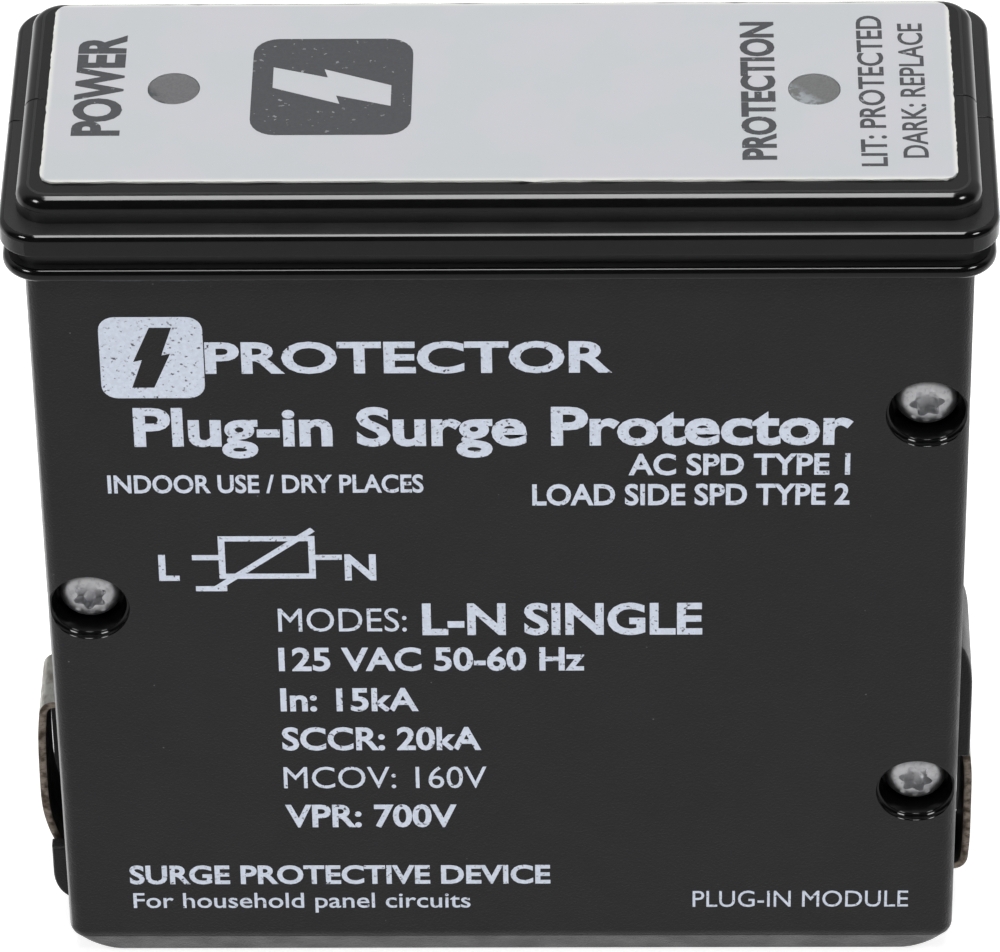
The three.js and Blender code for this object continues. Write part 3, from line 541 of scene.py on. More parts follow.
@dataclass(frozen=True)
class FilmOverlay:
    """Printed polycarbonate overlay whose paler border is its unprinted margin with a painted edge
    highlight.
    """

    name: str
    colour: Colour
    margin_and_highlight_colour: Colour
    half_width: float
    half_depth: float
    centre_y: float
    border: float

    def build(self) -> Material:
        """Returns the material."""
        recipe = Recipe(self.name)
        axes = recipe.add("ShaderNodeSeparateXYZ")
        recipe.link(recipe.place, axes.inputs[0])
        mottle = recipe.stretch(recipe.noise(7.0, 2.0), 0.35, 0.65)
        cool = shade(self.colour, 0.985)
        warm = (self.colour[0] * 1.03, self.colour[1] * 0.985, self.colour[2] * 1.01)
        tone = recipe.blend(mottle, cool, warm)
        reach_x = recipe.math("ABSOLUTE", axes.outputs["X"])
        from_middle = recipe.math("SUBTRACT", axes.outputs["Y"], self.centre_y * MM)
        reach_y = recipe.math("ABSOLUTE", from_middle)
        near_end = recipe.stretch(
            reach_x, (self.half_width - self.border) * MM, self.half_width * MM
        )
        near_side = recipe.stretch(
            reach_y, (self.half_depth - self.border) * MM, self.half_depth * MM
        )
        edge = recipe.math("MAXIMUM", near_end, near_side)
        # paler band along the cut edges: the unprinted margin with a painted edge highlight
        tone = recipe.blend(edge, tone, self.margin_and_highlight_colour)
        texture = recipe.noise(0.18, 2.0)
        recipe.set(
            Base_Color=tone,
            Roughness=recipe.stretch(texture, 0.3, 0.7, (0.42, 0.52)),
            Specular_IOR_Level=0.35,
        )
        recipe.relief(texture, 0.003)
        return recipe.material


@dataclass(frozen=True)
class SmokedLens:
    """Smoked light pipe with a mottled band of another colour along one side of its rim; where that
    colour is darker, the band is painted shade.
    """

    name: str
    colour: Colour
    shade_and_patch_colour: Colour
    centre: tuple[float, float]
    band_from: float
    band_to: float

    def build(self) -> Material:
        """Returns the material."""
        recipe = Recipe(self.name)
        axes = recipe.add("ShaderNodeSeparateXYZ")
        recipe.link(recipe.place, axes.inputs[0])
        fine = recipe.noise(0.16, 2.0)
        tone = recipe.blend(
            recipe.stretch(fine, 0.3, 0.7),
            shade(self.colour, 0.9),
            shade(self.colour, 1.1),
        )
        slant = recipe.math("ADD", axes.outputs["X"], axes.outputs["Y"])
        middle = (self.centre[0] + self.centre[1]) * MM
        side = recipe.stretch(
            slant, middle + self.band_from * MM, middle + self.band_to * MM
        )
        mottle = recipe.stretch(recipe.noise(0.7, 3.0), 0.42, 0.6)
        # mottled band towards the left and front of the rim: painted shade where it is darker, a
        # paler patch where it is lighter
        tone = recipe.blend(recipe.math("MULTIPLY", side, mottle), tone, self.shade_and_patch_colour)
        recipe.set(Base_Color=tone, Roughness=0.3, Specular_IOR_Level=0.4, Coat_Weight=0.3)
        recipe.relief(recipe.noise(0.5, 2.0), 0.006)
        return recipe.material


@dataclass(frozen=True)
class Metal:
    """Plated or bare metal with fine rolling marks and blotches."""

    name: str
    colour: Colour
    tarnish: Colour
    roughness: float
    streak: Point = (1.0, 1.0, 1.0)
    mark_size: float = 0.35
    mark_depth: float = 0.006
    blotch_size: float = 1.6

    def build(self) -> Material:
        """Returns the material."""
        recipe = Recipe(self.name)
        marks = recipe.noise(self.mark_size, 3.0, recipe.stretched(self.streak))
        blotch = recipe.stretch(recipe.noise(self.blotch_size, 3.0), 0.4, 0.66)
        tone = recipe.blend(blotch, self.colour, self.tarnish)
        tone = recipe.blend(
            recipe.stretch(marks, 0.5, 0.75, (0.0, 0.5)), tone, shade(self.tarnish, 0.7)
        )
        spread = (self.roughness - 0.07, self.roughness + 0.1)
        recipe.set(
            Base_Color=tone,
            Metallic=1.0,
            Roughness=recipe.stretch(marks, 0.3, 0.7, spread),
        )
        recipe.relief(marks, self.mark_depth)
        return recipe.material


@dataclass(frozen=True)
class PrintInk:
    """Screen-printed ink with pinholes where it missed the surface under it."""

    name: str
    colour: Colour
    ground: Colour
    pinhole: float
    wear: float

    def build(self) -> Material:
        """Returns the material."""
        recipe = Recipe(self.name)
        holes = recipe.stretch(recipe.noise(self.pinhole, 3.0), 0.66 - self.wear, 0.7)
        drift = recipe.stretch(recipe.noise(2.5, 2.0), 0.4, 0.62, (0.55, 1.0))
        tone = recipe.blend(
            recipe.stretch(recipe.noise(0.3, 2.0), 0.3, 0.7),
            shade(self.colour, 0.94),
            shade(self.colour, 1.04),
        )
        share = recipe.math("MULTIPLY", holes, drift)
        recipe.set(
            Base_Color=recipe.blend(share, tone, self.ground),
            Roughness=0.55,
            Specular_IOR_Level=0.25,
        )
        recipe.relief(recipe.noise(0.2, 2.0), 0.004)
        return recipe.material


@dataclass(frozen=True)
class Coating:
    """Dipped, cast or fired coating of an electronic part."""

    name: str
    colour: Colour
    roughness: float
    ripple: float
    ripple_depth: float
    coat: float = 0.0

    def build(self) -> Material:
        """Returns the material."""
        recipe = Recipe(self.name)
        ripple = recipe.noise(self.ripple, 3.0)
        tone = recipe.blend(
            recipe.stretch(ripple, 0.35, 0.65),
            shade(self.colour, 0.85),
            shade(self.colour, 1.12),
        )
        recipe.set(Base_Color=tone, Roughness=self.roughness, Coat_Weight=self.coat)
        recipe.relief(ripple, self.ripple_depth)
        return recipe.material


@dataclass(frozen=True)
class BoardLaminate:
    """Glass-epoxy board: solder mask over copper areas and a faint weave."""

    name: str
    mask: Colour
    copper_under_mask: Colour

    def build(self) -> Material:
        """Returns the material."""
        recipe = Recipe(self.name)
        areas = recipe.stretch(recipe.cells(9.0, 0.8), 0.42, 0.46)
        weave = recipe.noise(0.45, 1.0, recipe.stretched((1.0, 0.2, 1.0)))
        tone = recipe.blend(areas, self.copper_under_mask, self.mask)
        tone = recipe.blend(
            recipe.stretch(weave, 0.4, 0.7, (0.0, 0.35)), tone, shade(self.mask, 1.5)
        )
        recipe.set(Base_Color=tone, Roughness=0.35, Coat_Weight=0.4, Coat_Roughness=0.2)
        recipe.relief(areas, 0.03, 0.6)
        return recipe.material


@dataclass(frozen=True)
class FibrePaper:
    """Vulcanised fibre sheet with long pressed fibres."""

    name: str
    colour: Colour

    def build(self) -> Material:
        """Returns the material."""
        recipe = Recipe(self.name)
        fibres = recipe.noise(0.5, 4.0, recipe.stretched((0.25, 1.0, 1.4)))
        tone = recipe.blend(
            recipe.stretch(fibres, 0.35, 0.65),
            shade(self.colour, 0.8),
            shade(self.colour, 1.15),
        )
        recipe.set(Base_Color=tone, Roughness=0.85)
        recipe.relief(fibres, 0.02)
        return recipe.material


# ------------------------------------------------------------------------------ housing


@dataclass
class SideFit:
    """Guide rib and contact opening on one side of the body; `up` is the way the spring runs."""

    sign: int
    up: int
    anchor_z: float
    rib: float
    rib_end: float
    rib_tip: float
    rib_round: float
    notch_depth: float
    slot_end: float
    rear_rib: float
    rear_top: float
    rear_tip: float


LEFT_FIT = SideFit(-1, -1, 25.05, 1.47, 9.9, 4.0, 2.9, 1.36, 13.8, 1.7, 20.5, 4.0)
RIGHT_FIT = SideFit(1, 1, 6.2, 1.21, 20.2, 32.8, 4.9, 1.42, 16.3, 1.3, 15.5, 5.0)


@dataclass
class Housing:
    """Two moulded halves that meet on the plane Y = 0, with a stepped head."""

    half_width: float = 38.1
    half_depth: float = 13.67
    body_top: float = 76.56
    body_corner: float = 1.3
    wall: float = 2.0
    lead_in_height: float = 3.57
    lead_in_inset: float = 2.0
    foot_round: float = 2.0
    overhang: float = 1.9
    lower_overhang: float = 1.68
    upper_overhang: float = 1.84
    flange_corner: float = 3.2
    lower_tier: float = 1.25
    lower_fillet: float = 0.55
    groove: float = 1.4
    groove_depth: float = 1.0
    upper_tier: float = 2.02
    upper_fillet: float = 0.59
    cap: float = 2.2
    cap_overhang: float = 0.45
    cap_corner: float = 2.6
    cap_fillet: float = 1.15
    top_wall: float = 2.2
    parting: float = 0.03
    parting_chamfer: float = 0.07
    rim_soft: float = 0.18
    nose: float = 0.58
    bore_radius: float = 3.1
    bore_edge: float = 0.14
    mouth_radius: float = 3.35
    mouth_depth: float = 0.55
    mouth_edge: float = 0.12
    seat_y: float = -10.27
    boss_radius: float = 3.6
    rear_boss_radius: float = 3.1
    shank_hole: float = 1.55
    window_hole: float = 2.4
    contact_front: float = -8.3
    contact_back: float = -1.3
    rib_front: float = -9.5
    rib_notch: float = 2.4
    rear_rib_back: float = 8.0
    rear_rib_round: float = 1.8
    post_radius: float = 2.2
    post_inset: float = 3.5
    post_levels: tuple[float, float] = (11.0, 45.0)
    post_drop: float = 3.0
    top_post_x: float = 17.5
    root: float = 0.5
    board_gap: float = 0.05
    step_reach: tuple[float, float] = (1.1, 1.7)
    rebate: tuple[float, float, float, float] = (0.85, 3.0, -1.15, 1.0)
    tongue: tuple[float, float, float, float] = (1.0, 1.8, -1.0, 0.5)

    def tier_block(
        self, half_x: float, levels: tuple[float, float], top: float, low: float
    ) -> Piece:
        """Returns one tier of the flange.

        Args:
            half_x: Half of its width.
            levels: Z of its underside and of its upper side.
            top: Radius of its upper edge.
            low: Radius of its lower edge.
        """
        half_y = self.half_depth + self.overhang
        corners = ((-half_x, -half_y, levels[0]), (half_x, half_y, levels[1]))
        return rounded_block(*corners, self.flange_corner, top, low)

    def body_form(self) -> Piece:
        """Returns the lower tier with the groove's core above and the tapered body below."""
        top = self.body_top + self.lower_tier
        half_x = self.half_width + self.lower_overhang
        piece = self.tier_block(half_x, (self.body_top, top), self.lower_fillet, self.nose)
        with editing(piece):
            pick_faces(lambda face: facing(face, (0, 0, 1), top))
            bpy.ops.mesh.inset(thickness=self.groove_depth - self.lower_fillet)
            pull((0, 0, self.groove + 0.5))
            pick_faces(lambda face: facing(face, (0, 0, -1), self.body_top))
            bpy.ops.mesh.inset(thickness=self.overhang - self.nose)
            widen = self.half_width / (half_x - self.overhang)
            bpy.ops.transform.resize(value=(widen, 1, 1), center_override=(0, 0, self.body_top))
            pull((0, 0, self.lead_in_height - self.body_top))
            self.draw_foot()
        with editing(piece, Pick.EDGES):
            pick_edges(lambda edge: at_level(edge, self.lead_in_height))
            round_edges(0.5, 4)
            pick_edges(lambda edge: at_level(edge, 0.0))
            round_edges(0.35, 4)
        return piece

    def draw_foot(self, levels: int = 12) -> None:
        """Pulls the selected underside down to Z = 0 in rings, for the taper and round corners."""
        wide = self.half_width
        deep = self.half_depth
        for level in range(levels):
            z = self.lead_in_height * (1 - (level + 1) / levels)
            taper = self.lead_in_inset * (1 - z / self.lead_in_height)
            fall = max(self.foot_round - z, 0.0)
            drop = self.foot_round - math.sqrt(self.foot_round**2 - fall**2)
            next_wide = self.half_width - taper - 0.8 * drop
            next_deep = self.half_depth - taper
            scale = (next_wide / wide, next_deep / deep, 1)
            pull_ring((0, 0, -self.lead_in_height / levels), scale, (0, 0, z))
            wide = next_wide
            deep = next_deep

    def outer_form(self) -> Piece:
        """Returns the outside of both halves as one solid."""
        upper_bottom = self.body_top + self.lower_tier + self.groove
        cap_x = self.half_width + self.cap_overhang
        cap = rounded_block(
            (-cap_x, -self.half_depth, self.roof - 0.6),
            (cap_x, self.half_depth, self.cap_top),
            self.cap_corner,
            self.cap_fillet,
            0,
        )
        half_x = self.half_width + self.upper_overhang
        levels = (upper_bottom, self.roof)
        upper = self.tier_block(half_x, levels, self.upper_fillet, self.rim_soft)
        return combine(self.body_form(), [upper, cap], Join.ADD)

    def hollow_form(self) -> Piece:
        """Returns the space that both halves enclose."""
        half_x = self.half_width - self.wall
        half_y = self.half_depth - self.wall
        start = self.lead_in_height + 1
        corners = ((-half_x, -half_y, start), (half_x, half_y, self.roof))
        piece = rounded_block(*corners, self.body_corner, 0, 0)
        floor = self.wall + 0.2
        with editing(piece):
            pick_faces(lambda face: facing(face, (0, 0, -1), start))
            shrink = [(half - self.lead_in_inset) / half for half in (half_x, half_y)]
            pull_ring((0, 0, floor - start), (*shrink, 1), (0, 0, floor))
        return piece

    def half_space(self, sign: int, gap: float) -> Piece:
        """Returns a block that holds everything on one side of the parting plane."""
        reach = 60.0
        below = -5.0
        above = 100.0
        low_y, high_y = sorted((sign * gap, sign * reach))
        return block((-reach, low_y, below), (reach, high_y, above))

    def break_parting_edge(self, piece: Piece, sign: int) -> None:
        """Breaks the outer edge along the parting plane."""
        plane = sign * self.parting
        inner = self.half_width - 1.2

        def outer_edge(edge: Edge) -> bool:
            """Tells whether an edge is on the parting plane and on the outside."""
            ends = [vert.co for vert in edge.verts]
            if any(abs(end.y - plane) > 0.001 for end in ends):
                return False
            beside = all(abs(end.x) > inner and end.z > self.lead_in_height for end in ends)
            on_top = all(end.z > self.body_top + 6.5 for end in ends)
            return beside or on_top

        with editing(piece, Pick.EDGES):
            pick_edges(outer_edge)
            round_edges(self.parting_chamfer, 2)

    def faded_bar(
        self,
        sign: int,
        height: float,
        span_y: tuple[float, float],
        span_z: tuple[float, float],
        fade: float,
    ) -> Piece:
        """Returns an upright bar on a side wall, with one end faded into the wall.

        Args:
            sign: The side that it is on.
            height: How far it stands out of the wall.
            span_y: Y of the edge on the parting plane and Y of the other, rounded edge.
            span_z: Z of its square end and Z of its faded end.
            fade: Length of the faded part.
        """
        xs = sorted((sign * (self.half_width - 1.0), sign * (self.half_width + height)))
        ys = sorted(span_y)
        zs = sorted(span_z)
        piece = block((xs[0], ys[0], zs[0]), (xs[1], ys[1], zs[1]))
        outer = sign * (self.half_width + height)
        tip = span_z[1]

        def tip_edge(edge: Edge) -> bool:
            """Tells whether an edge is the outer edge of the faded end."""
            return all(
                abs(vert.co.x - outer) < TINY and abs(vert.co.z - tip) < TINY
                for vert in edge.verts
            )

        depth = height + 0.25
        with editing(piece, Pick.EDGES):
            pick_edges(tip_edge)
            round_edges(depth, 12)
            bpy.ops.mesh.select_mode(type="VERT")
            pick_verts(lambda place: abs(place.z - tip) < depth + TINY)
            bpy.ops.transform.resize(value=(1, 1, fade / depth), center_override=(outer, 0, tip))
            bpy.ops.mesh.select_mode(type="EDGE")
            pick_edges(
                lambda edge: all(abs(vert.co.y - span_y[1]) < TINY for vert in edge.verts)
                and any(abs(vert.co.x) > self.half_width - 0.2 for vert in edge.verts)
            )
            round_edges(0.3, 4)
        return piece

    def rib(self, fit: SideFit) -> Piece:
        """Returns the guide rib beside one contact."""
        span_y = (-self.parting, self.rib_front)
        return self.faded_bar(
            fit.sign, fit.rib, span_y, (fit.rib_end, fit.rib_tip), fit.rib_round
        )

    def rear_rib(self, fit: SideFit) -> Piece:
        """Returns the rib of the rear shell that backs one contact."""
        span_y = (self.parting, self.rear_rib_back)
        span_z = (fit.rear_top, fit.rear_tip)
        return self.faded_bar(fit.sign, fit.rear_rib, span_y, span_z, self.rear_rib_round)

    def contact_cuts(self, fit: SideFit) -> list[Piece]:
        """Returns the slot through the wall and the notch for the spring's free end."""
        slot_from = fit.anchor_z - fit.up * 0.65
        notch_to = fit.rib_end + fit.up * self.rib_notch
        spans = (
            (self.half_width - self.wall - 1, self.half_width + 1, slot_from, fit.slot_end),
            (self.half_width - fit.notch_depth, self.half_width + 3, fit.slot_end, notch_to),
        )
        cuts = []
        for inner, outer, start, end in spans:
            xs = sorted((fit.sign * inner, fit.sign * outer))
            zs = sorted((start, end))
            low = (xs[0], self.contact_front, zs[0] - TINY)
            cuts.append(block(low, (xs[1], self.contact_back, zs[1] + TINY)))
        return cuts

    def screw_places(self) -> list[tuple[float, float]]:
        """Returns X and Z of the three housing screws."""
        return [node_middle(node)[::2] for node in SCREW_TURNS]

    def pocket_profile(self) -> list[tuple[float, float]]:
        """Returns the pocket's rings from the seat to its mouth, each as radius and Y."""
        front = -self.half_depth
        step_y = front + self.mouth_depth
        rings = []
        quarter = [math.radians(angle) for angle in (30, 60, 90)]
        for angle in quarter:
            out = self.bore_edge * (1 - math.cos(angle))
            rings.append((self.bore_radius + out, step_y + self.bore_edge * (1 - math.sin(angle))))
        rings.append((self.mouth_radius - 0.04, step_y))
        rings.append((self.mouth_radius, step_y - 0.05))
        rings.append((self.mouth_radius, front + self.mouth_edge))
        for angle in quarter[:2]:
            out = self.mouth_edge * (1 - math.cos(angle))
            rings.append((self.mouth_radius + out, front + self.mouth_edge * (1 - math.sin(angle))))
        return rings

    def pocket(self, x: float, z: float) -> Piece:
        """Returns the cutter of one screw pocket: a bore with a wider, shallow mouth."""
        start = -self.half_depth + self.mouth_depth + self.bore_edge
        radius = self.bore_radius
        y = start
        piece = rod((x, self.seat_y + 0.05, z), (x, start, z), radius, 64)
        with editing(piece):
            pick_faces(lambda face: face.normal.y < -0.99)
            for next_radius, next_y in self.pocket_profile():
                grow = next_radius / radius
                pull_ring((0, next_y - y, 0), (grow, 1, grow), (x, next_y, z))
                radius = next_radius
                y = next_y
            pull((0, -2, 0))
        return piece

    def posts(self, start_y: float, end_y: float) -> list[Piece]:
        """Returns the pillars that hold the circuit board."""
        low, high = node_box("circuit_board")
        side_x = (high.x - low.x) / 2 - self.post_inset
        top_z = high.z - self.post_drop
        first, second = (low.z + level for level in self.post_levels)
        places = ((-side_x, first), (side_x, second), (-side_x, top_z), (self.top_post_x, top_z))
        return [rod((x, start_y, z), (x, end_y, z), self.post_radius, 32) for x, z in places]

    def dress(self, piece: Piece) -> None:
        """Sets the finishes: 0 grained body, 1 polished head and pockets, 2 satin steps whose paler
        colour is painted reflection.
        """
        pockets = self.screw_places()
        reach = self.mouth_radius + self.mouth_edge
        for face in piece.data.polygons:
            centre = face.center
            in_head = centre.z > self.body_top - 0.05
            in_pocket = centre.y < self.seat_y + 0.2 and any(
                math.hypot(centre.x - x, centre.z - z) < reach for x, z in pockets
            )
            flat_front = centre.y < -self.half_depth + 0.005 and abs(face.normal.y) > ALIGNED
            face.material_index = 1 if in_head or (in_pocket and not flat_front) else 0
            # the flats between the tiers take the satin copy, whose paler colour is painted
            # reflection
            if in_head and self.in_step(face):
                face.material_index = 2

    def in_step(self, face: bpy.types.MeshPolygon) -> bool:
        """Tells whether a face is an upright or level one between the tiers of the head."""
        x, y, z = (abs(value) for value in face.center)
        flat = abs(face.normal.z) > ALIGNED or abs(face.normal.z) < 0.02
        reach_x, reach_y = self.step_reach
        outside_x = x > self.half_width + self.cap_overhang + reach_x
        outside = outside_x or y > self.half_depth + reach_y
        on_top = z > self.cap_top - TINY
        return flat and not on_top and (face.normal.z > 0.9 or not outside)

    @property
    def roof(self) -> float:
        """Z of the upper tier's top, under the cap."""
        return self.body_top + self.lower_tier + self.groove + self.upper_tier

    @property
    def cap_top(self) -> float:
        """Z of the head's upper side."""
        return self.roof + self.cap

    def build(
        self,
        matte: Material,
        polished: Material,
        satin_painted_sheen: Material,
    ) -> None:
        """Makes both halves of the housing.

        Args:
            matte: The grained finish of the body.
            polished: The finish of the head and the pockets.
            satin_painted_sheen: The finish of the flats between the head's tiers; its paler colour
                is painted reflection.
        """
        outer = self.outer_form()
        hollow = self.hollow_form()
        halves = {
            sign: combine(twin(outer), [self.half_space(sign, self.parting)], Join.KEEP)
            for sign in (-1, 1)
        }
        front = self.make_front(halves[-1], twin(hollow))
        rear = self.make_rear(halves[1], hollow)
        bpy.data.objects.remove(outer, do_unlink=True)
        finishes = (matte, polished, satin_painted_sheen)
        for piece, name, sign in ((front, "front_shell", -1), (rear, "rear_shell", 1)):
            self.break_parting_edge(piece, sign)
            self.dress(piece)
            hand_over(
                piece, f"{name}_moulding", Body.HOUSING, finishes, (name,), 38.0
            )

    def window_cuts(self) -> list[Piece]:
        """Returns the cutters of the two holes for the light pipes."""
        return window_rods(self.roof - 1, self.roof + 5, self.window_hole, 48)

    def bosses(self, start_y: float, end_y: float, radius: float, inside: Piece) -> list[Piece]:
        """Returns the screw bosses of one half, kept within its outside."""
        made = [rod((x, start_y, z), (x, end_y, z), radius, 48) for x, z in self.screw_places()]
        return [combine(boss, [twin(inside)], Join.KEEP) for boss in made]

    def shank_holes(self, start_y: float, end_y: float) -> list[Piece]:
        """Returns the cutters of the holes for the screws' shanks."""
        places = self.screw_places()
        return [rod((x, start_y, z), (x, end_y, z), self.shank_hole, 32) for x, z in places]

    def make_front(self, piece: Piece, hollow: Piece) -> Piece:
        """Turns the front half into the front shell."""
        inside = twin(piece)
        piece = combine(piece, [hollow], Join.CUT)
        board_low, _ = node_box("circuit_board")
        root_y = -self.half_depth + self.root
        bosses = self.bosses(root_y, -self.parting, self.boss_radius, inside)
        posts = self.posts(root_y, board_low.y - self.board_gap)
        piece = combine(piece, [*bosses, *posts], Join.ADD)
        piece = combine(piece, [self.rib(LEFT_FIT), self.rib(RIGHT_FIT)], Join.ADD)
        cuts = [self.pocket(x, z) for x, z in self.screw_places()]
        cuts += self.shank_holes(-self.half_depth - 1, 2)
        cuts += self.contact_cuts(LEFT_FIT) + self.contact_cuts(RIGHT_FIT)
        cuts += self.window_cuts() + self.side_strips(*self.rebate)
        bpy.data.objects.remove(inside, do_unlink=True)
        return combine(piece, cuts, Join.CUT)

    def make_rear(self, piece: Piece, hollow: Piece) -> Piece:
        """Turns the rear half into the rear shell."""
        inside = twin(piece)
        piece = combine(piece, [hollow], Join.CUT)
        _, board_high = node_box("circuit_board")
        root_y = self.half_depth - self.root
        bosses = self.bosses(self.parting, root_y, self.rear_boss_radius, inside)
        posts = self.posts(board_high.y + self.board_gap, root_y)
        tongues = self.side_strips(*self.tongue)
        ribs = [self.rear_rib(LEFT_FIT), self.rear_rib(RIGHT_FIT)]
        piece = combine(piece, [*bosses, *posts, *tongues, *ribs], Join.ADD)
        _, screw_high = node_box("screw_left")
        cuts = self.shank_holes(-1.5, screw_high.y + 1)
        bpy.data.objects.remove(inside, do_unlink=True)
        return combine(piece, cuts + self.window_cuts(), Join.CUT)

    def side_strips(self, outer: float, inner: float, y0: float, y1: float) -> list[Piece]:
        """Returns two upright strips inside the side walls, for the tongue or its rebate."""
        low_z = self.lead_in_height + self.wall
        high_z = self.body_top - self.wall - 1
        strips = []
        for sign in (-1, 1):
            xs = sorted((sign * (self.half_width - outer), sign * (self.half_width - inner)))
            strips.append(block((xs[0], y0, low_z), (xs[1], y1, high_z)))
        return strips


# ------------------------------------------------------------------------------ contacts


def spline(points: Sequence[tuple[float, float]], steps: int) -> list[tuple[float, float]]:
    """Returns places along a smooth curve through points, `steps` of them between each pair."""
    ends = [points[0], *points, points[-1]]
    line = [points[0]]
    for before, start, end, after in zip(ends, ends[1:], ends[2:], ends[3:]):
        for step in range(1, steps + 1):
            t = step / steps
            place = []
            for p0, p1, p2, p3 in zip(before, start, end, after):
                lead = (p2 - p0) / 2
                trail = (p3 - p1) / 2
                cubic = 2 * p1 - 2 * p2 + lead + trail
                square = 3 * p2 - 3 * p1 - 2 * lead - trail
                place.append(((cubic * t + square) * t + lead) * t + p1)
            line.append(tuple(place))
    return line


@dataclass
class ContactStrip:
    """Bowed contact spring: one leg through the wall, a bow, and a free end in the rib's notch."""

    name: str
    node: str
    body: Body
    fit: SideFit
    crest: float
    shoulder: float
    length: float
    tail: float
    thickness: float = 0.7
    leg: float = 4.0
    edge_round: float = 0.07

    def centre_line(self) -> list[tuple[float, float]]:
        """Returns the strip's middle as pairs of distance beyond the wall and Z."""
        anchor = self.fit.anchor_z

        def along(distance: float) -> float:
            """Returns Z at a distance from the anchored end."""
            return anchor + self.fit.up * distance

        start = self.shoulder - 1.15
        turn = self.shoulder - 0.12
        end = (self.shoulder - 0.02, along(1.1))
        bend = []
        for step in range(1, 11):
            t = step / 10
            out = (1 - t) ** 2 * start + 2 * t * (1 - t) * turn + t**2 * end[0]
            bend.append((out, anchor + (end[1] - anchor) * t**2))
        bow = spline(
            [
                end,
                ((self.shoulder + self.crest) / 2 + 0.05, along(self.length * 0.22)),
                (self.crest, along(self.length * 0.45)),
                (self.crest - 0.04, along(self.length * 0.7)),
                ((self.crest + self.tail) / 2 + 0.12, along(self.length * 0.88)),
                (self.tail, along(self.length)),
            ],
            6,
        )
        return [(-self.leg, anchor), (start, anchor), *bend, *bow[1:]]

    def build(self, plated: Material, sheared: Material, wall_x: float) -> None:
        """Makes the strip.

        Args:
            plated: The finish of its broad faces.
            sheared: The finish of its cut edges.
            wall_x: Half of the body's width.
        """
        low, high = node_box(self.node)
        sign = self.fit.sign
        line = [(sign * (wall_x + out), z) for out, z in self.centre_line()]
        bpy.ops.object.select_all(action="DESELECT")
        width = high.y - low.y
        bpy.ops.mesh.primitive_plane_add(size=width, location=(0, (low.y + high.y) / 2, 0))
        piece = bpy.context.object
        settle(piece)
        with editing(piece, Pick.VERTS):
            pick_verts(lambda place: place.x > 0)
            bpy.ops.mesh.delete(type="VERT")
            bpy.ops.mesh.select_all(action="SELECT")
            bpy.ops.transform.translate(value=(line[0][0] + width / 2, 0, line[0][1]))
            for (x0, z0), (x1, z1) in zip(line, line[1:]):
                pull((x1 - x0, 0, z1 - z0))
        hold(piece)
        gauge = piece.modifiers.new("gauge", "SOLIDIFY")
        gauge.thickness = self.thickness
        gauge.offset = 0
        gauge.use_even_offset = True
        bpy.ops.object.modifier_apply(modifier=gauge.name)
        edge = piece.modifiers.new("edge", "BEVEL")
        edge.width = self.edge_round
        edge.segments = 2
        edge.angle_limit = math.radians(50)
        bpy.ops.object.modifier_apply(modifier=edge.name)
        with editing(piece):
            bpy.ops.mesh.select_all(action="SELECT")
            bpy.ops.mesh.normals_make_consistent(inside=False)
        for face in piece.data.polygons:
            face.material_index = 1 if abs(face.normal.y) > 0.9 else 0
        hand_over(piece, self.name, self.body, (plated, sheared), (self.node,))


LEFT_STRIP = ContactStrip(
    "left_contact_strip", "left_contact_spring", Body.LEFT, LEFT_FIT, 1.88, 1.58, 16.6, 0.45
)
RIGHT_STRIP = ContactStrip(
    "right_contact_strip", "right_contact_spring", Body.RIGHT, RIGHT_FIT, 1.22, 1.12, 15.4, 0.3
)


# ------------------------------------------------------------------------------ screws


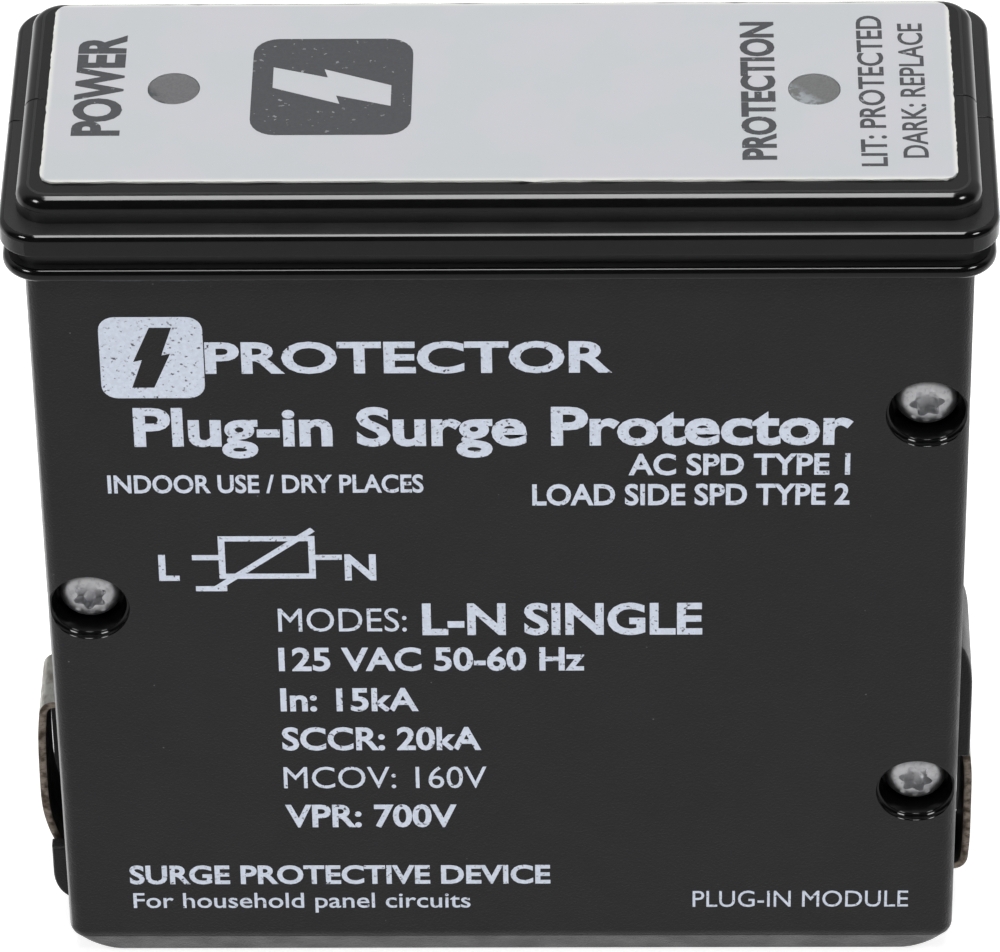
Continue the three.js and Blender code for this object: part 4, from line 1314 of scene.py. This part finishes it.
@dataclass
class HousingScrew:
    """Domed thread-forming screw with a six-lobe recess; modelled once, upright, and copied."""

    head_radius: float = 2.65
    head_height: float = 1.9
    rim: float = 0.8
    crown: float = 0.42
    recess_radius: float = 1.46
    recess_depth: float = 1.0
    lobe: float = 0.15
    core_radius: float = 1.0
    crest_radius: float = 1.25
    thread_pitch: float = 1.2
    length: float = 18.0

    def head(self) -> Piece:
        """Returns the domed head, its seat at Z = 0."""
        piece = rod((0, 0, 0), (0, 0, self.rim), self.head_radius, 64)
        dome = self.head_height - self.rim
        radius = self.head_radius
        z = self.rim
        with editing(piece, Pick.EDGES):
            pick_edges(lambda edge: at_level(edge, 0.0))
            round_edges(0.12, 3)
            bpy.ops.mesh.select_mode(type="FACE")
            pick_faces(lambda face: facing(face, (0, 0, 1), self.rim))
            for step in range(1, 11):
                angle = math.radians(8.2 * step)
                next_radius = self.head_radius * math.cos(angle) ** self.crown
                next_z = self.rim + dome * math.sin(angle)
                grow = next_radius / radius
                pull_ring((0, 0, next_z - z), (grow, grow, 1), (0, 0, z))
                radius = next_radius
                z = next_z
        return piece

    def recess(self) -> Piece:
        """Returns the six-lobe cutter, with a coned bottom."""
        bottom = self.head_height - self.recess_depth
        sides = 72
        piece = rod((0, 0, bottom), (0, 0, self.head_height + 1), self.recess_radius, sides)
        with editing(piece, Pick.VERTS):
            for phase in range(sides // 12 + 1):
                angle = math.radians(360 / sides * phase)
                grow = 1 - self.lobe * (1 - math.cos(6 * angle))

                def in_phase(place: Vector, angle: float = angle) -> bool:
                    """Tells whether a vertex sits at this angle from the middle of a lobe."""
                    turn = math.atan2(place.y, place.x) % math.radians(60)
                    return min(abs(turn - angle), abs(math.radians(60) - turn - angle)) < 0.01

                if phase and pick_verts(in_phase):
                    bpy.ops.transform.resize(value=(grow, grow, 1), center_override=(0, 0, 0))
            bpy.ops.mesh.select_mode(type="FACE")
            pick_faces(lambda face: facing(face, (0, 0, -1), bottom))
            pull_ring((0, 0, -0.25), (0.45, 0.45, 1), (0, 0, bottom))
        return piece

    def shank(self) -> Piece:
        """Returns the threaded shank with its blunt tip, down from the seat."""
        piece = rod((0, 0, 0.3), (0, 0, -0.8), self.core_radius, 24)
        radius = self.core_radius
        turns = int((self.length - 2.4) / self.thread_pitch)
        flank = self.thread_pitch * 0.22
        land = self.thread_pitch * 0.06
        root = self.thread_pitch - 2 * flank - land
        outline = [(self.crest_radius, flank), (self.crest_radius, land)]
        outline += [(self.core_radius, flank), (self.core_radius, root)]
        with editing(piece):
            pick_faces(lambda face: facing(face, (0, 0, -1), -0.8))
            for next_radius, drop in outline * turns + [(self.core_radius * 0.6, 0.7)]:
                grow = next_radius / radius
                pull_ring((0, 0, -drop), (grow, grow, 1), (0, 0, 0))
                radius = next_radius
        return piece

    def build(self, zinc: Material, seat_y: float) -> None:
        """Makes the three screws.

        Args:
            zinc: Their finish.
            seat_y: Y of the seats under their heads.
        """
        master = combine(self.head(), [self.recess()], Join.CUT)
        combine(master, [self.shank()], Join.ADD)
        for node, turn in SCREW_TURNS.items():
            x, _, z = node_middle(node)
            piece = twin(master)
            piece.rotation_euler = (0, 0, math.radians(turn))
            settle(piece)
            piece.rotation_euler = (math.radians(90), 0, 0)
            piece.location = (x, seat_y, z)
            settle(piece)
            hand_over(piece, f"{node}_six_lobe", Body.HOUSING, (zinc,), (node,), 28.0)
        bpy.data.objects.remove(master, do_unlink=True)


# ------------------------------------------------------------------------------ label and windows


@dataclass
class TopLabel:
    """Thin printed overlay on the head, die-cut with two window holes."""

    corner: float = 1.2
    window_hole: float = 2.12
    ragged: float = 0.09
    top_gap: float = 0.02

    def build(self, film: Material) -> None:
        """Makes the overlay."""
        low, high = node_box("top_label")
        top = high.z - self.top_gap
        piece = rounded_block((low.x, low.y, low.z), (high.x, high.y, top), self.corner, 0, 0)
        with editing(piece, Pick.EDGES):
            pick_edges(
                lambda edge: edge.calc_length() > 2
                and abs(edge.verts[0].co.z - edge.verts[1].co.z) < TINY
            )
            bpy.ops.mesh.subdivide(number_cuts=60)
            bpy.ops.mesh.select_mode(type="VERT")
            bpy.ops.mesh.select_all(action="SELECT")
            bpy.ops.transform.vertex_random(offset=self.ragged, seed=7)
            for level in (low.z, top):
                pick_verts(lambda place, level=level: abs(place.z - level) < self.ragged * 1.5)
                bpy.ops.transform.resize(value=(1, 1, 0), center_override=(0, 0, level))
            bpy.ops.mesh.select_mode(type="EDGE")
            pick_edges(lambda edge: at_level(edge, top))
            round_edges(0.05, 2)
        combine(piece, window_rods(low.z - 1, top + 1, self.window_hole, 64), Join.CUT)
        hand_over(piece, "status_overlay", Body.HOUSING, (film,), ("top_label",))


@dataclass
class LightPipe:
    """Smoked light pipe: a disc in the label's window, a flange under the wall and a stem."""

    name: str
    node: str
    radius: float = 2.1
    flange_radius: float = 3.0
    flange_height: float = 1.0
    stem_radius: float = 1.6
    edge: float = 0.12
    flange_gap: float = 0.05

    def build(self, lens: Material, roof: float) -> None:
        """Makes the light pipe, with its flange under the level `roof`."""
        low, high = node_box(self.node)
        x, y, _ = node_middle(self.node)
        flange_top = roof - self.flange_gap
        outline = (
            (self.flange_radius, flange_top - self.flange_height),
            (self.flange_radius, flange_top),
            (self.radius, flange_top),
            (self.radius, high.z - self.edge),
            (self.radius - self.edge * 0.3, high.z - self.edge * 0.3),
            (self.radius - self.edge, high.z),
            (self.radius * 0.6, high.z - 0.03),
        )
        radius = self.stem_radius
        z = flange_top - self.flange_height
        piece = rod((x, y, low.z), (x, y, z), radius, 64)
        with editing(piece):
            pick_faces(lambda face: facing(face, (0, 0, 1), z))
            for next_radius, next_z in outline:
                grow = next_radius / radius
                pull_ring((0, 0, next_z - z), (grow, grow, 1), (x, y, next_z))
                radius = next_radius
                z = next_z
        hand_over(piece, self.name, Body.HOUSING, (lens,), (self.node,))


# ------------------------------------------------------------------------------ print


@dataclass(frozen=True)
class Line:
    """One printed line: its words, its ends along the line, its baseline and its cap height."""

    words: str
    start: float
    end: float
    base: float
    cap: float
    weight: float


FRONT_LINES = (
    Line("PROTECTOR", -23.9, 9.0, 65.95, 3.0, 0.03),
    Line("Plug-in Surge Protector", -30.0, 28.6, 58.35, 3.75, 0.03),
    Line("AC SPD TYPE 1", 10.3, 28.4, 55.1, 2.1, 0.026),
    Line("LOAD SIDE SPD TYPE 2", 2.4, 28.4, 51.9, 2.1, 0.026),
    Line("INDOOR USE / DRY PLACES", -32.4, -6.5, 53.3, 1.8, 0.022),
    Line("L", -28.6, -26.9, 43.9, 2.6, 0.03),
    Line("N", -13.2, -10.6, 43.9, 2.6, 0.03),
    Line("MODES:", -18.9, -8.2, 38.2, 2.5, 0.0),
    Line("L-N SINGLE", -6.9, 16.4, 37.9, 3.2, 0.03),
    Line("125 VAC 50-60 Hz", -19.0, 6.6, 33.9, 2.4, 0.026),
    Line("In: 15kA", -19.0, -7.4, 29.4, 2.4, 0.026),
    Line("SCCR: 20kA", -19.0, -2.2, 25.0, 2.4, 0.026),
    Line("MCOV: 160V", -19.0, -1.8, 20.6, 2.4, 0.0),
    Line("VPR: 700V", -19.0, -4.4, 16.2, 2.4, 0.026),
    Line("SURGE PROTECTIVE DEVICE", -32.6, 3.5, 9.6, 2.0, 0.028),
    Line("For household panel circuits", -32.4, -3.4, 6.75, 1.7, 0.008),
    Line("PLUG-IN MODULE", 15.7, 34.2, 6.75, 1.85, 0.0),
)
LABEL_LINES = (
    Line("POWER", -5.3, 8.3, 30.7, 3.5, 0.042),
    Line("PROTECTION", -8.8, 9.8, -22.1, 2.5, 0.038),
    Line("LIT: PROTECTED", -9.7, 10.6, -31.0, 2.0, 0.016),
    Line("DARK: REPLACE", -8.6, 9.5, -34.3, 1.95, 0.012),
)


@dataclass
class Printing:
    """Screen print on the front face and on the overlay."""

    front_y: float = -13.67
    film: float = 0.012
    label_top: float = 83.64
    bolt_size: float = 8.4
    label_bolt_size: float = 13.0

    def __post_init__(self) -> None:
        """Measures the height of the type's capitals."""
        probe = self.type_piece("H", 0.0)
        self.cap_height = probe.dimensions.y
        bpy.data.objects.remove(probe, do_unlink=True)

    def type_piece(self, words: str, weight: float) -> Piece:
        """Returns words as a flat solid in the plane Z = 0, its baseline on the X axis."""
        bpy.ops.object.select_all(action="DESELECT")
        bpy.ops.object.text_add(location=(0, 0, 0))
        piece = bpy.context.object
        piece.data.body = words
        piece.data.size = 1.0
        piece.data.offset = weight
        piece.data.resolution_u = 4
        piece.data.extrude = 0.01
        hold(piece)
        bpy.ops.object.convert(target="MESH")
        piece = bpy.context.object
        with editing(piece):
            bpy.ops.mesh.select_all(action="SELECT")
            bpy.ops.mesh.remove_doubles(threshold=0.0001)
        return piece

    def fit(self, piece: Piece, line: Line) -> None:
        """Stretches a flat piece of type to its line's ends and cap height."""
        xs = [vert.co.x for vert in piece.data.vertices]
        zs = [vert.co.z for vert in piece.data.vertices]
        wide = (line.end - line.start) / (max(xs) - min(xs))
        thick = self.film / (max(zs) - min(zs))
        piece.scale = (wide, line.cap / self.cap_height, thick)
        piece.location = (line.start - min(xs) * wide, line.base, self.film / 2)
        settle(piece)

    def onto_front(self, piece: Piece) -> None:
        """Turns a flat piece from the XY plane onto the front face."""
        piece.rotation_euler = (math.radians(90), 0, 0)
        piece.location = (0, self.front_y, 0)
        settle(piece)

    def onto_label(self, piece: Piece) -> None:
        """Turns a flat piece so that it reads towards +Y, on top of the overlay."""
        piece.rotation_euler = (0, 0, math.radians(90))
        piece.location = (0, 0, self.label_top)
        settle(piece)

    def words(self, lines: Sequence[Line]) -> list[Piece]:
        """Returns the printed lines as pieces in the XY plane."""
        made = []
        for line in lines:
            piece = self.type_piece(line.words, line.weight)
            self.fit(piece, line)
            made.append(piece)
        return made

    def bar(self, x0: float, y0: float, x1: float, y1: float) -> Piece:
        """Returns a flat printed rectangle."""
        return block((x0, y0, 0), (x1, y1, self.film))

    def bolt(self, x: float, y: float, height: float) -> Piece:
        """Returns a rounded badge around (x, y) with a lightning bolt cut out of it."""
        tall = height * 0.74
        wide = tall * 0.5
        reach = 2.0
        upper = block((-wide * 0.29, 0, -reach), (wide * 0.29, tall / 2, reach))
        with editing(upper, Pick.VERTS):
            pick_verts(lambda place: place.y > TINY)
            bpy.ops.transform.translate(value=(wide * 0.26, 0, 0))
            pick_verts(lambda place: place.y < TINY and place.x > 0)
            bpy.ops.transform.translate(value=(-wide * 0.04, tall * 0.03, 0))
            pick_verts(lambda place: place.y < TINY and place.x < 0)
            bpy.ops.transform.translate(value=(-wide * 0.2, -tall * 0.07, 0))
        lower = twin(upper)
        lower.rotation_euler = (0, 0, math.radians(180))
        settle(lower)
        bolt = combine(upper, [lower], Join.ADD)
        badge = block((-height / 2, -height / 2, 0), (height / 2, height / 2, self.film))
        with editing(badge, Pick.EDGES):
            pick_edges(upright)
            round_edges(height * 0.16, 6)
        combine(badge, [bolt], Join.CUT)
        badge.location = (x, y, 0)
        settle(badge)
        return badge

    def varistor_symbol(self, x: float, y: float) -> list[Piece]:
        """Returns the circuit symbol of a varistor between two leads."""
        half = 4.0
        tall = 2.3
        line = 0.55
        frame_plate = self.bar(x - half, y - tall, x + half, y + tall)
        opening = block(
            (x - half + line, y - tall + line, -1), (x + half - line, y + tall - line, 1)
        )
        symbol = combine(frame_plate, [opening], Join.CUT)
        stroke = self.bar(-half - 1.4, -line / 2, half + 0.9, line / 2)
        stroke.rotation_euler = (0, 0, math.radians(38))
        stroke.location = (x, y, self.film / 4)
        settle(stroke)
        # overlapping bars stand at heights of their own, so that no two faces coincide
        foot = self.bar(x - half - 2.0, y - tall - 1.35, x - half + 0.6, y - tall - 0.8)
        leads = [
            self.bar(x - half - 2.2, y - line / 2, x - half + 0.1, y + line / 2),
            self.bar(x + half - 0.1, y - line / 2, x + half + 2.2, y + line / 2),
        ]
        for part, share in ((foot, 1 / 8), (leads[0], -1 / 8), (leads[1], -1 / 8)):
            part.location.z = self.film * share
            settle(part)
        return [symbol, stroke, foot, *leads]

    def publish(self, pieces: Sequence[Piece], name: str, ink: Material) -> None:
        """Joins printed pieces into one and hands it over."""
        bpy.ops.object.select_all(action="DESELECT")
        for piece in pieces:
            piece.select_set(True)
        bpy.context.view_layer.objects.active = pieces[0]
        bpy.ops.object.join()
        hand_over(bpy.context.object, name, Body.HOUSING, (ink,))

    def build(self, white: Material, grey: Material) -> None:
        """Makes both prints.

        Args:
            white: The ink of the front.
            grey: The ink of the overlay.
        """
        groups = (
            (
                "front_title_print",
                [*self.words(FRONT_LINES[:5]), self.bolt(-28.2, 67.5, self.bolt_size)],
            ),
            (
                "front_symbol_print",
                [*self.words(FRONT_LINES[5:7]), *self.varistor_symbol(-19.6, 46.3)],
            ),
            ("front_ratings_print", self.words(FRONT_LINES[7:14])),
            ("front_foot_print", self.words(FRONT_LINES[14:])),
        )
        for name, pieces in groups:
            for piece in pieces:
                self.onto_front(piece)
            self.publish(pieces, name, white)
        legends = [*self.words(LABEL_LINES), self.bolt(1.2, 13.6, self.label_bolt_size)]
        for piece in legends:
            self.onto_label(piece)
        self.publish(legends, "status_legends_print", grey)


# ------------------------------------------------------------------------------ main


def linear(red: int, green: int, blue: int) -> Colour:
    """Turns an 8-bit display colour into linear values."""

    def channel(value: int) -> float:
        """Returns one linear channel."""
        share = value / 255
        return share / 12.92 if share <= 0.04045 else ((share + 0.055) / 1.055) ** 2.4

    return channel(red), channel(green), channel(blue)


MATTE_BLACK = MouldedPlastic("grained_black", linear(27, 26, 28), 0.44, 0.41, 0.17, 0.07, 0.05)
# A satin copy of the black for the head's flats: its higher roughness is the finish, and its paler
# colour is painted reflection.
SATIN_PAINTED_SHEEN = MouldedPlastic("satin_painted_sheen_black", linear(33, 33, 34), 0.34, 0.5, 0.2, 0.012)
POLISHED_BLACK = MouldedPlastic("polished_black", linear(10, 10, 11), 0.1, 0.5, 1.5, 0.003)
OVERLAY_FILM = FilmOverlay(
    "overlay_film", linear(192, 196, 199), linear(222, 222, 218), 36.6, 11.95, 0.6, 0.5
)
# the power pipe's darker band is painted shade along the left and front of its rim
POWER_LENS = SmokedLens(
    "power_lens", linear(104, 104, 106), linear(70, 74, 76), (-26.4, 1.0), -1.2, -2.4
)
# the protection pipe's band is a paler mottled patch towards its left and front
PROTECTION_LENS = SmokedLens(
    "protection_lens", linear(108, 109, 109), linear(150, 156, 160), (25.4, 0.6), -0.4, -1.8
)
ZINC = Metal("zinc_plate", linear(250, 250, 252), linear(226, 226, 230), 0.36)
PLATING = Metal(
    "contact_plate", linear(168, 168, 163), linear(132, 128, 120), 0.38, (1.0, 0.3, 1.0)
)
SHEARED_EDGE = Metal(
    "sheared_edge", linear(172, 160, 148), linear(96, 84, 74), 0.42, (1.0, 0.4, 2.0), 0.3, 0.02, 0.9
)
TINNED = Metal("tinned", linear(190, 192, 196), linear(150, 150, 154), 0.3)
COPPER = Metal("bare_copper", linear(196, 122, 84), linear(128, 74, 52), 0.3)
WHITE_INK = PrintInk("white_ink", linear(205, 212, 226), linear(60, 60, 64), 0.34, 0.06)
GREY_INK = PrintInk("grey_ink", linear(78, 79, 82), linear(150, 152, 155), 0.5, 0.0)
INNER_FINISHES: dict[str, Callable[[], Material]] = {
    "left_terminal": TINNED.build,
    "right_terminal": TINNED.build,
    "bus_link": COPPER.build,
    "varistor": Coating("varistor_coat", linear(40, 74, 138), 0.3, 1.2, 0.05, 0.5).build,
    "thermal_fuse": Coating("fuse_coat", linear(226, 220, 206), 0.4, 0.5, 0.01).build,
    "line_fuse": Coating("fuse_body", linear(230, 225, 214), 0.35, 0.6, 0.01, 0.3).build,
    "film_capacitor": Coating("capacitor_box", linear(156, 47, 40), 0.35, 0.8, 0.01, 0.2).build,
    "power_led": Coating("green_resin", linear(120, 196, 130), 0.12, 0.5, 0.002, 0.6).build,
    "protection_led": Coating("green_resin_2", linear(120, 196, 130), 0.12, 0.5, 0.002, 0.6).build,
    "led_resistor": Coating("resistor_lacquer", linear(196, 166, 124), 0.4, 0.4, 0.01, 0.3).build,
    "led_diode": Coating("diode_epoxy", linear(27, 27, 29), 0.5, 0.2, 0.01).build,
    "sense_transistor": Coating("transistor_epoxy", linear(30, 30, 32), 0.55, 0.2, 0.01).build,
    "circuit_board": BoardLaminate("board", linear(34, 84, 48), linear(52, 110, 62)).build,
    "insulating_sheet": FibrePaper("fibre_sheet", linear(143, 138, 124)).build,
}


def dress_inner_nodes() -> None:
    """Gives every node that keeps its own shape its finish."""
    for prefix, build in INNER_FINISHES.items():
        finish = build()
        members = [node for name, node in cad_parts.items() if name.startswith(prefix)]
        for node in members:
            node.data.materials.clear()
            node.data.materials.append(finish)
        log.info("%s: %d nodes dressed", prefix, len(members))


# ------------------------------------------------------------------------------ studio


@dataclass(frozen=True)
class Viewpoint:
    """Camera of the main view; angles in degrees, lengths in metres, lens in millimetres."""

    pitch: float = 39.71
    yaw: float = 1.32
    roll: float = -1.01
    distance: float = 0.6137
    aim: Point = (-0.00053, 0.0, 0.04362)
    lens: float = 262.2

    def build(self) -> None:
        """Adds the camera and makes it the scene's."""
        pitch, yaw, roll = (math.radians(angle) for angle in (self.pitch, self.yaw, self.roll))
        ahead = Vector(
            (-math.sin(yaw) * math.cos(pitch), math.cos(yaw) * math.cos(pitch), -math.sin(pitch))
        )
        level = Vector((math.cos(yaw), math.sin(yaw), 0))
        above = level.cross(ahead)
        right = level * math.cos(roll) + above * math.sin(roll)
        top = above * math.cos(roll) - level * math.sin(roll)
        bpy.ops.object.select_all(action="DESELECT")
        bpy.ops.object.camera_add(location=Vector(self.aim) - ahead * self.distance)
        camera = bpy.context.object
        camera.rotation_euler = Matrix((right, top, -ahead)).transposed().to_euler()
        camera.data.lens = self.lens
        camera.data.sensor_width = 36.0
        camera.data.clip_start = 0.05
        camera.data.clip_end = 20.0
        bpy.context.scene.camera = camera


@dataclass(frozen=True)
class Studio:
    """Pale floor, three softboxes, a bright sweep behind and a low front fill."""

    overhead: float = 12.8
    overhead_lean: float = 0.04
    overhead_x: tuple[float, float] = (0.15, 0.11)
    overhead_y: tuple[float, float] = (0.34, 0.27)
    side: float = 20.0
    side_way: Point = (0.57, -0.44, 0.7)
    side_edge: tuple[float, float] = (0.994, 0.998)
    behind: float = 0.62
    below_behind: float = 1.2
    front_low: float = 0.6
    front_high: float = 0.03
    floor_glow: float = 0.75

    def build(self) -> None:
        """Adds the floor and the surroundings."""
        self.add_floor()
        self.add_surroundings()
        bpy.context.scene.view_settings.view_transform = "Standard"

    def add_floor(self) -> None:
        """Adds the floor that the object stands on."""
        bpy.ops.object.select_all(action="DESELECT")
        bpy.ops.mesh.primitive_plane_add(size=6.0, location=(0, 0, 0))
        floor = bpy.context.object
        floor.name = "studio_floor"
        recipe = Recipe("floor_white")
        grain = recipe.noise(30.0, 2.0)
        recipe.set(
            Base_Color=recipe.blend(grain, (0.58, 0.58, 0.58), (0.62, 0.62, 0.62)),
            Roughness=1.0,
            Specular_IOR_Level=0.0,
            Emission_Color=(1.0, 1.0, 1.0, 1.0),
            Emission_Strength=self.floor_glow,
        )
        floor.data.materials.append(recipe.material)
        floor.visible_glossy = False

    def add_surroundings(self) -> None:
        """Lights the scene from all round, by direction."""
        world = bpy.data.worlds.new("studio")
        bpy.context.scene.world = world
        world.use_nodes = True
        tree = world.node_tree
        tree.nodes.clear()

        def add(kind: str, **settings: object) -> bpy.types.Node:
            """Adds a node of the surroundings."""
            node = tree.nodes.new(kind)
            for key, value in settings.items():
                setattr(node, key, value)
            return node

        def ramp(value: Socket, *spans: float) -> Socket:
            """Maps a value smoothly from one range to another."""
            node = add("ShaderNodeMapRange", interpolation_type="SMOOTHSTEP")
            tree.links.new(value, node.inputs["Value"])
            for name, number in zip(("From Min", "From Max", "To Min", "To Max"), spans):
                node.inputs[name].default_value = number
            return node.outputs["Result"]

        def work(operation: str, *operands: object) -> Socket:
            """Works out one value from sockets or numbers."""
            node = add("ShaderNodeMath", operation=operation)
            for socket, operand in zip(node.inputs, operands):
                if isinstance(operand, Socket):
                    tree.links.new(operand, socket)
                else:
                    socket.default_value = operand
            return node.outputs["Value"]

        place = add("ShaderNodeTexCoord")
        axes = add("ShaderNodeSeparateXYZ")
        tree.links.new(place.outputs["Generated"], axes.inputs[0])
        along, depth, height = (axes.outputs[name] for name in "XYZ")
        aside = work("ABSOLUTE", along)
        in_width = ramp(aside, *self.overhead_x, 0.0, 1.0)
        leaning = work("ABSOLUTE", work("ADD", depth, self.overhead_lean))
        in_depth = ramp(leaning, *self.overhead_y, 0.0, self.overhead)
        above = ramp(height, 0.0, 0.5, 0.0, 1.0)
        overhead = work("MULTIPLY", work("MULTIPLY", in_width, in_depth), above)
        shares = [work("MULTIPLY", *pair) for pair in zip((aside, depth, height), self.side_way)]
        towards = work("ADD", work("ADD", *shares[:2]), shares[2])
        sides = ramp(towards, *self.side_edge, 0.0, self.side)
        backward = ramp(depth, -0.15, 0.3, 0.0, 1.0)
        level = ramp(height, -0.2, 0.2, self.below_behind, self.behind)
        sweep = work("MULTIPLY", backward, level)
        fill = ramp(height, -0.22, 0.02, self.front_low, self.front_high)
        total = work("ADD", work("ADD", overhead, sides), work("ADD", sweep, fill))
        background = add("ShaderNodeBackground")
        tree.links.new(total, background.inputs["Strength"])
        output = add("ShaderNodeOutputWorld")
        tree.links.new(background.outputs[0], output.inputs["Surface"])


def main() -> None:
    """Builds the camera, the object and the studio."""
    logging.basicConfig(level=logging.INFO, format="%(name)s: %(message)s")
    Viewpoint().build()
    Studio().build()
    housing = Housing()
    housing.build(MATTE_BLACK.build(), POLISHED_BLACK.build(), SATIN_PAINTED_SHEEN.build())
    plated = PLATING.build()
    sheared = SHEARED_EDGE.build()
    for strip in (LEFT_STRIP, RIGHT_STRIP):
        strip.build(plated, sheared, housing.half_width)
    HousingScrew().build(ZINC.build(), housing.seat_y)
    TopLabel().build(OVERLAY_FILM.build())
    LightPipe("power_light_pipe", "power_window").build(POWER_LENS.build(), housing.roof)
    protection_pipe = LightPipe("protection_light_pipe", "protection_window")
    protection_pipe.build(PROTECTION_LENS.build(), housing.roof)
    Printing().build(WHITE_INK.build(), GREY_INK.build())
    dress_inner_nodes()


if __name__ == "__main__":
    main()
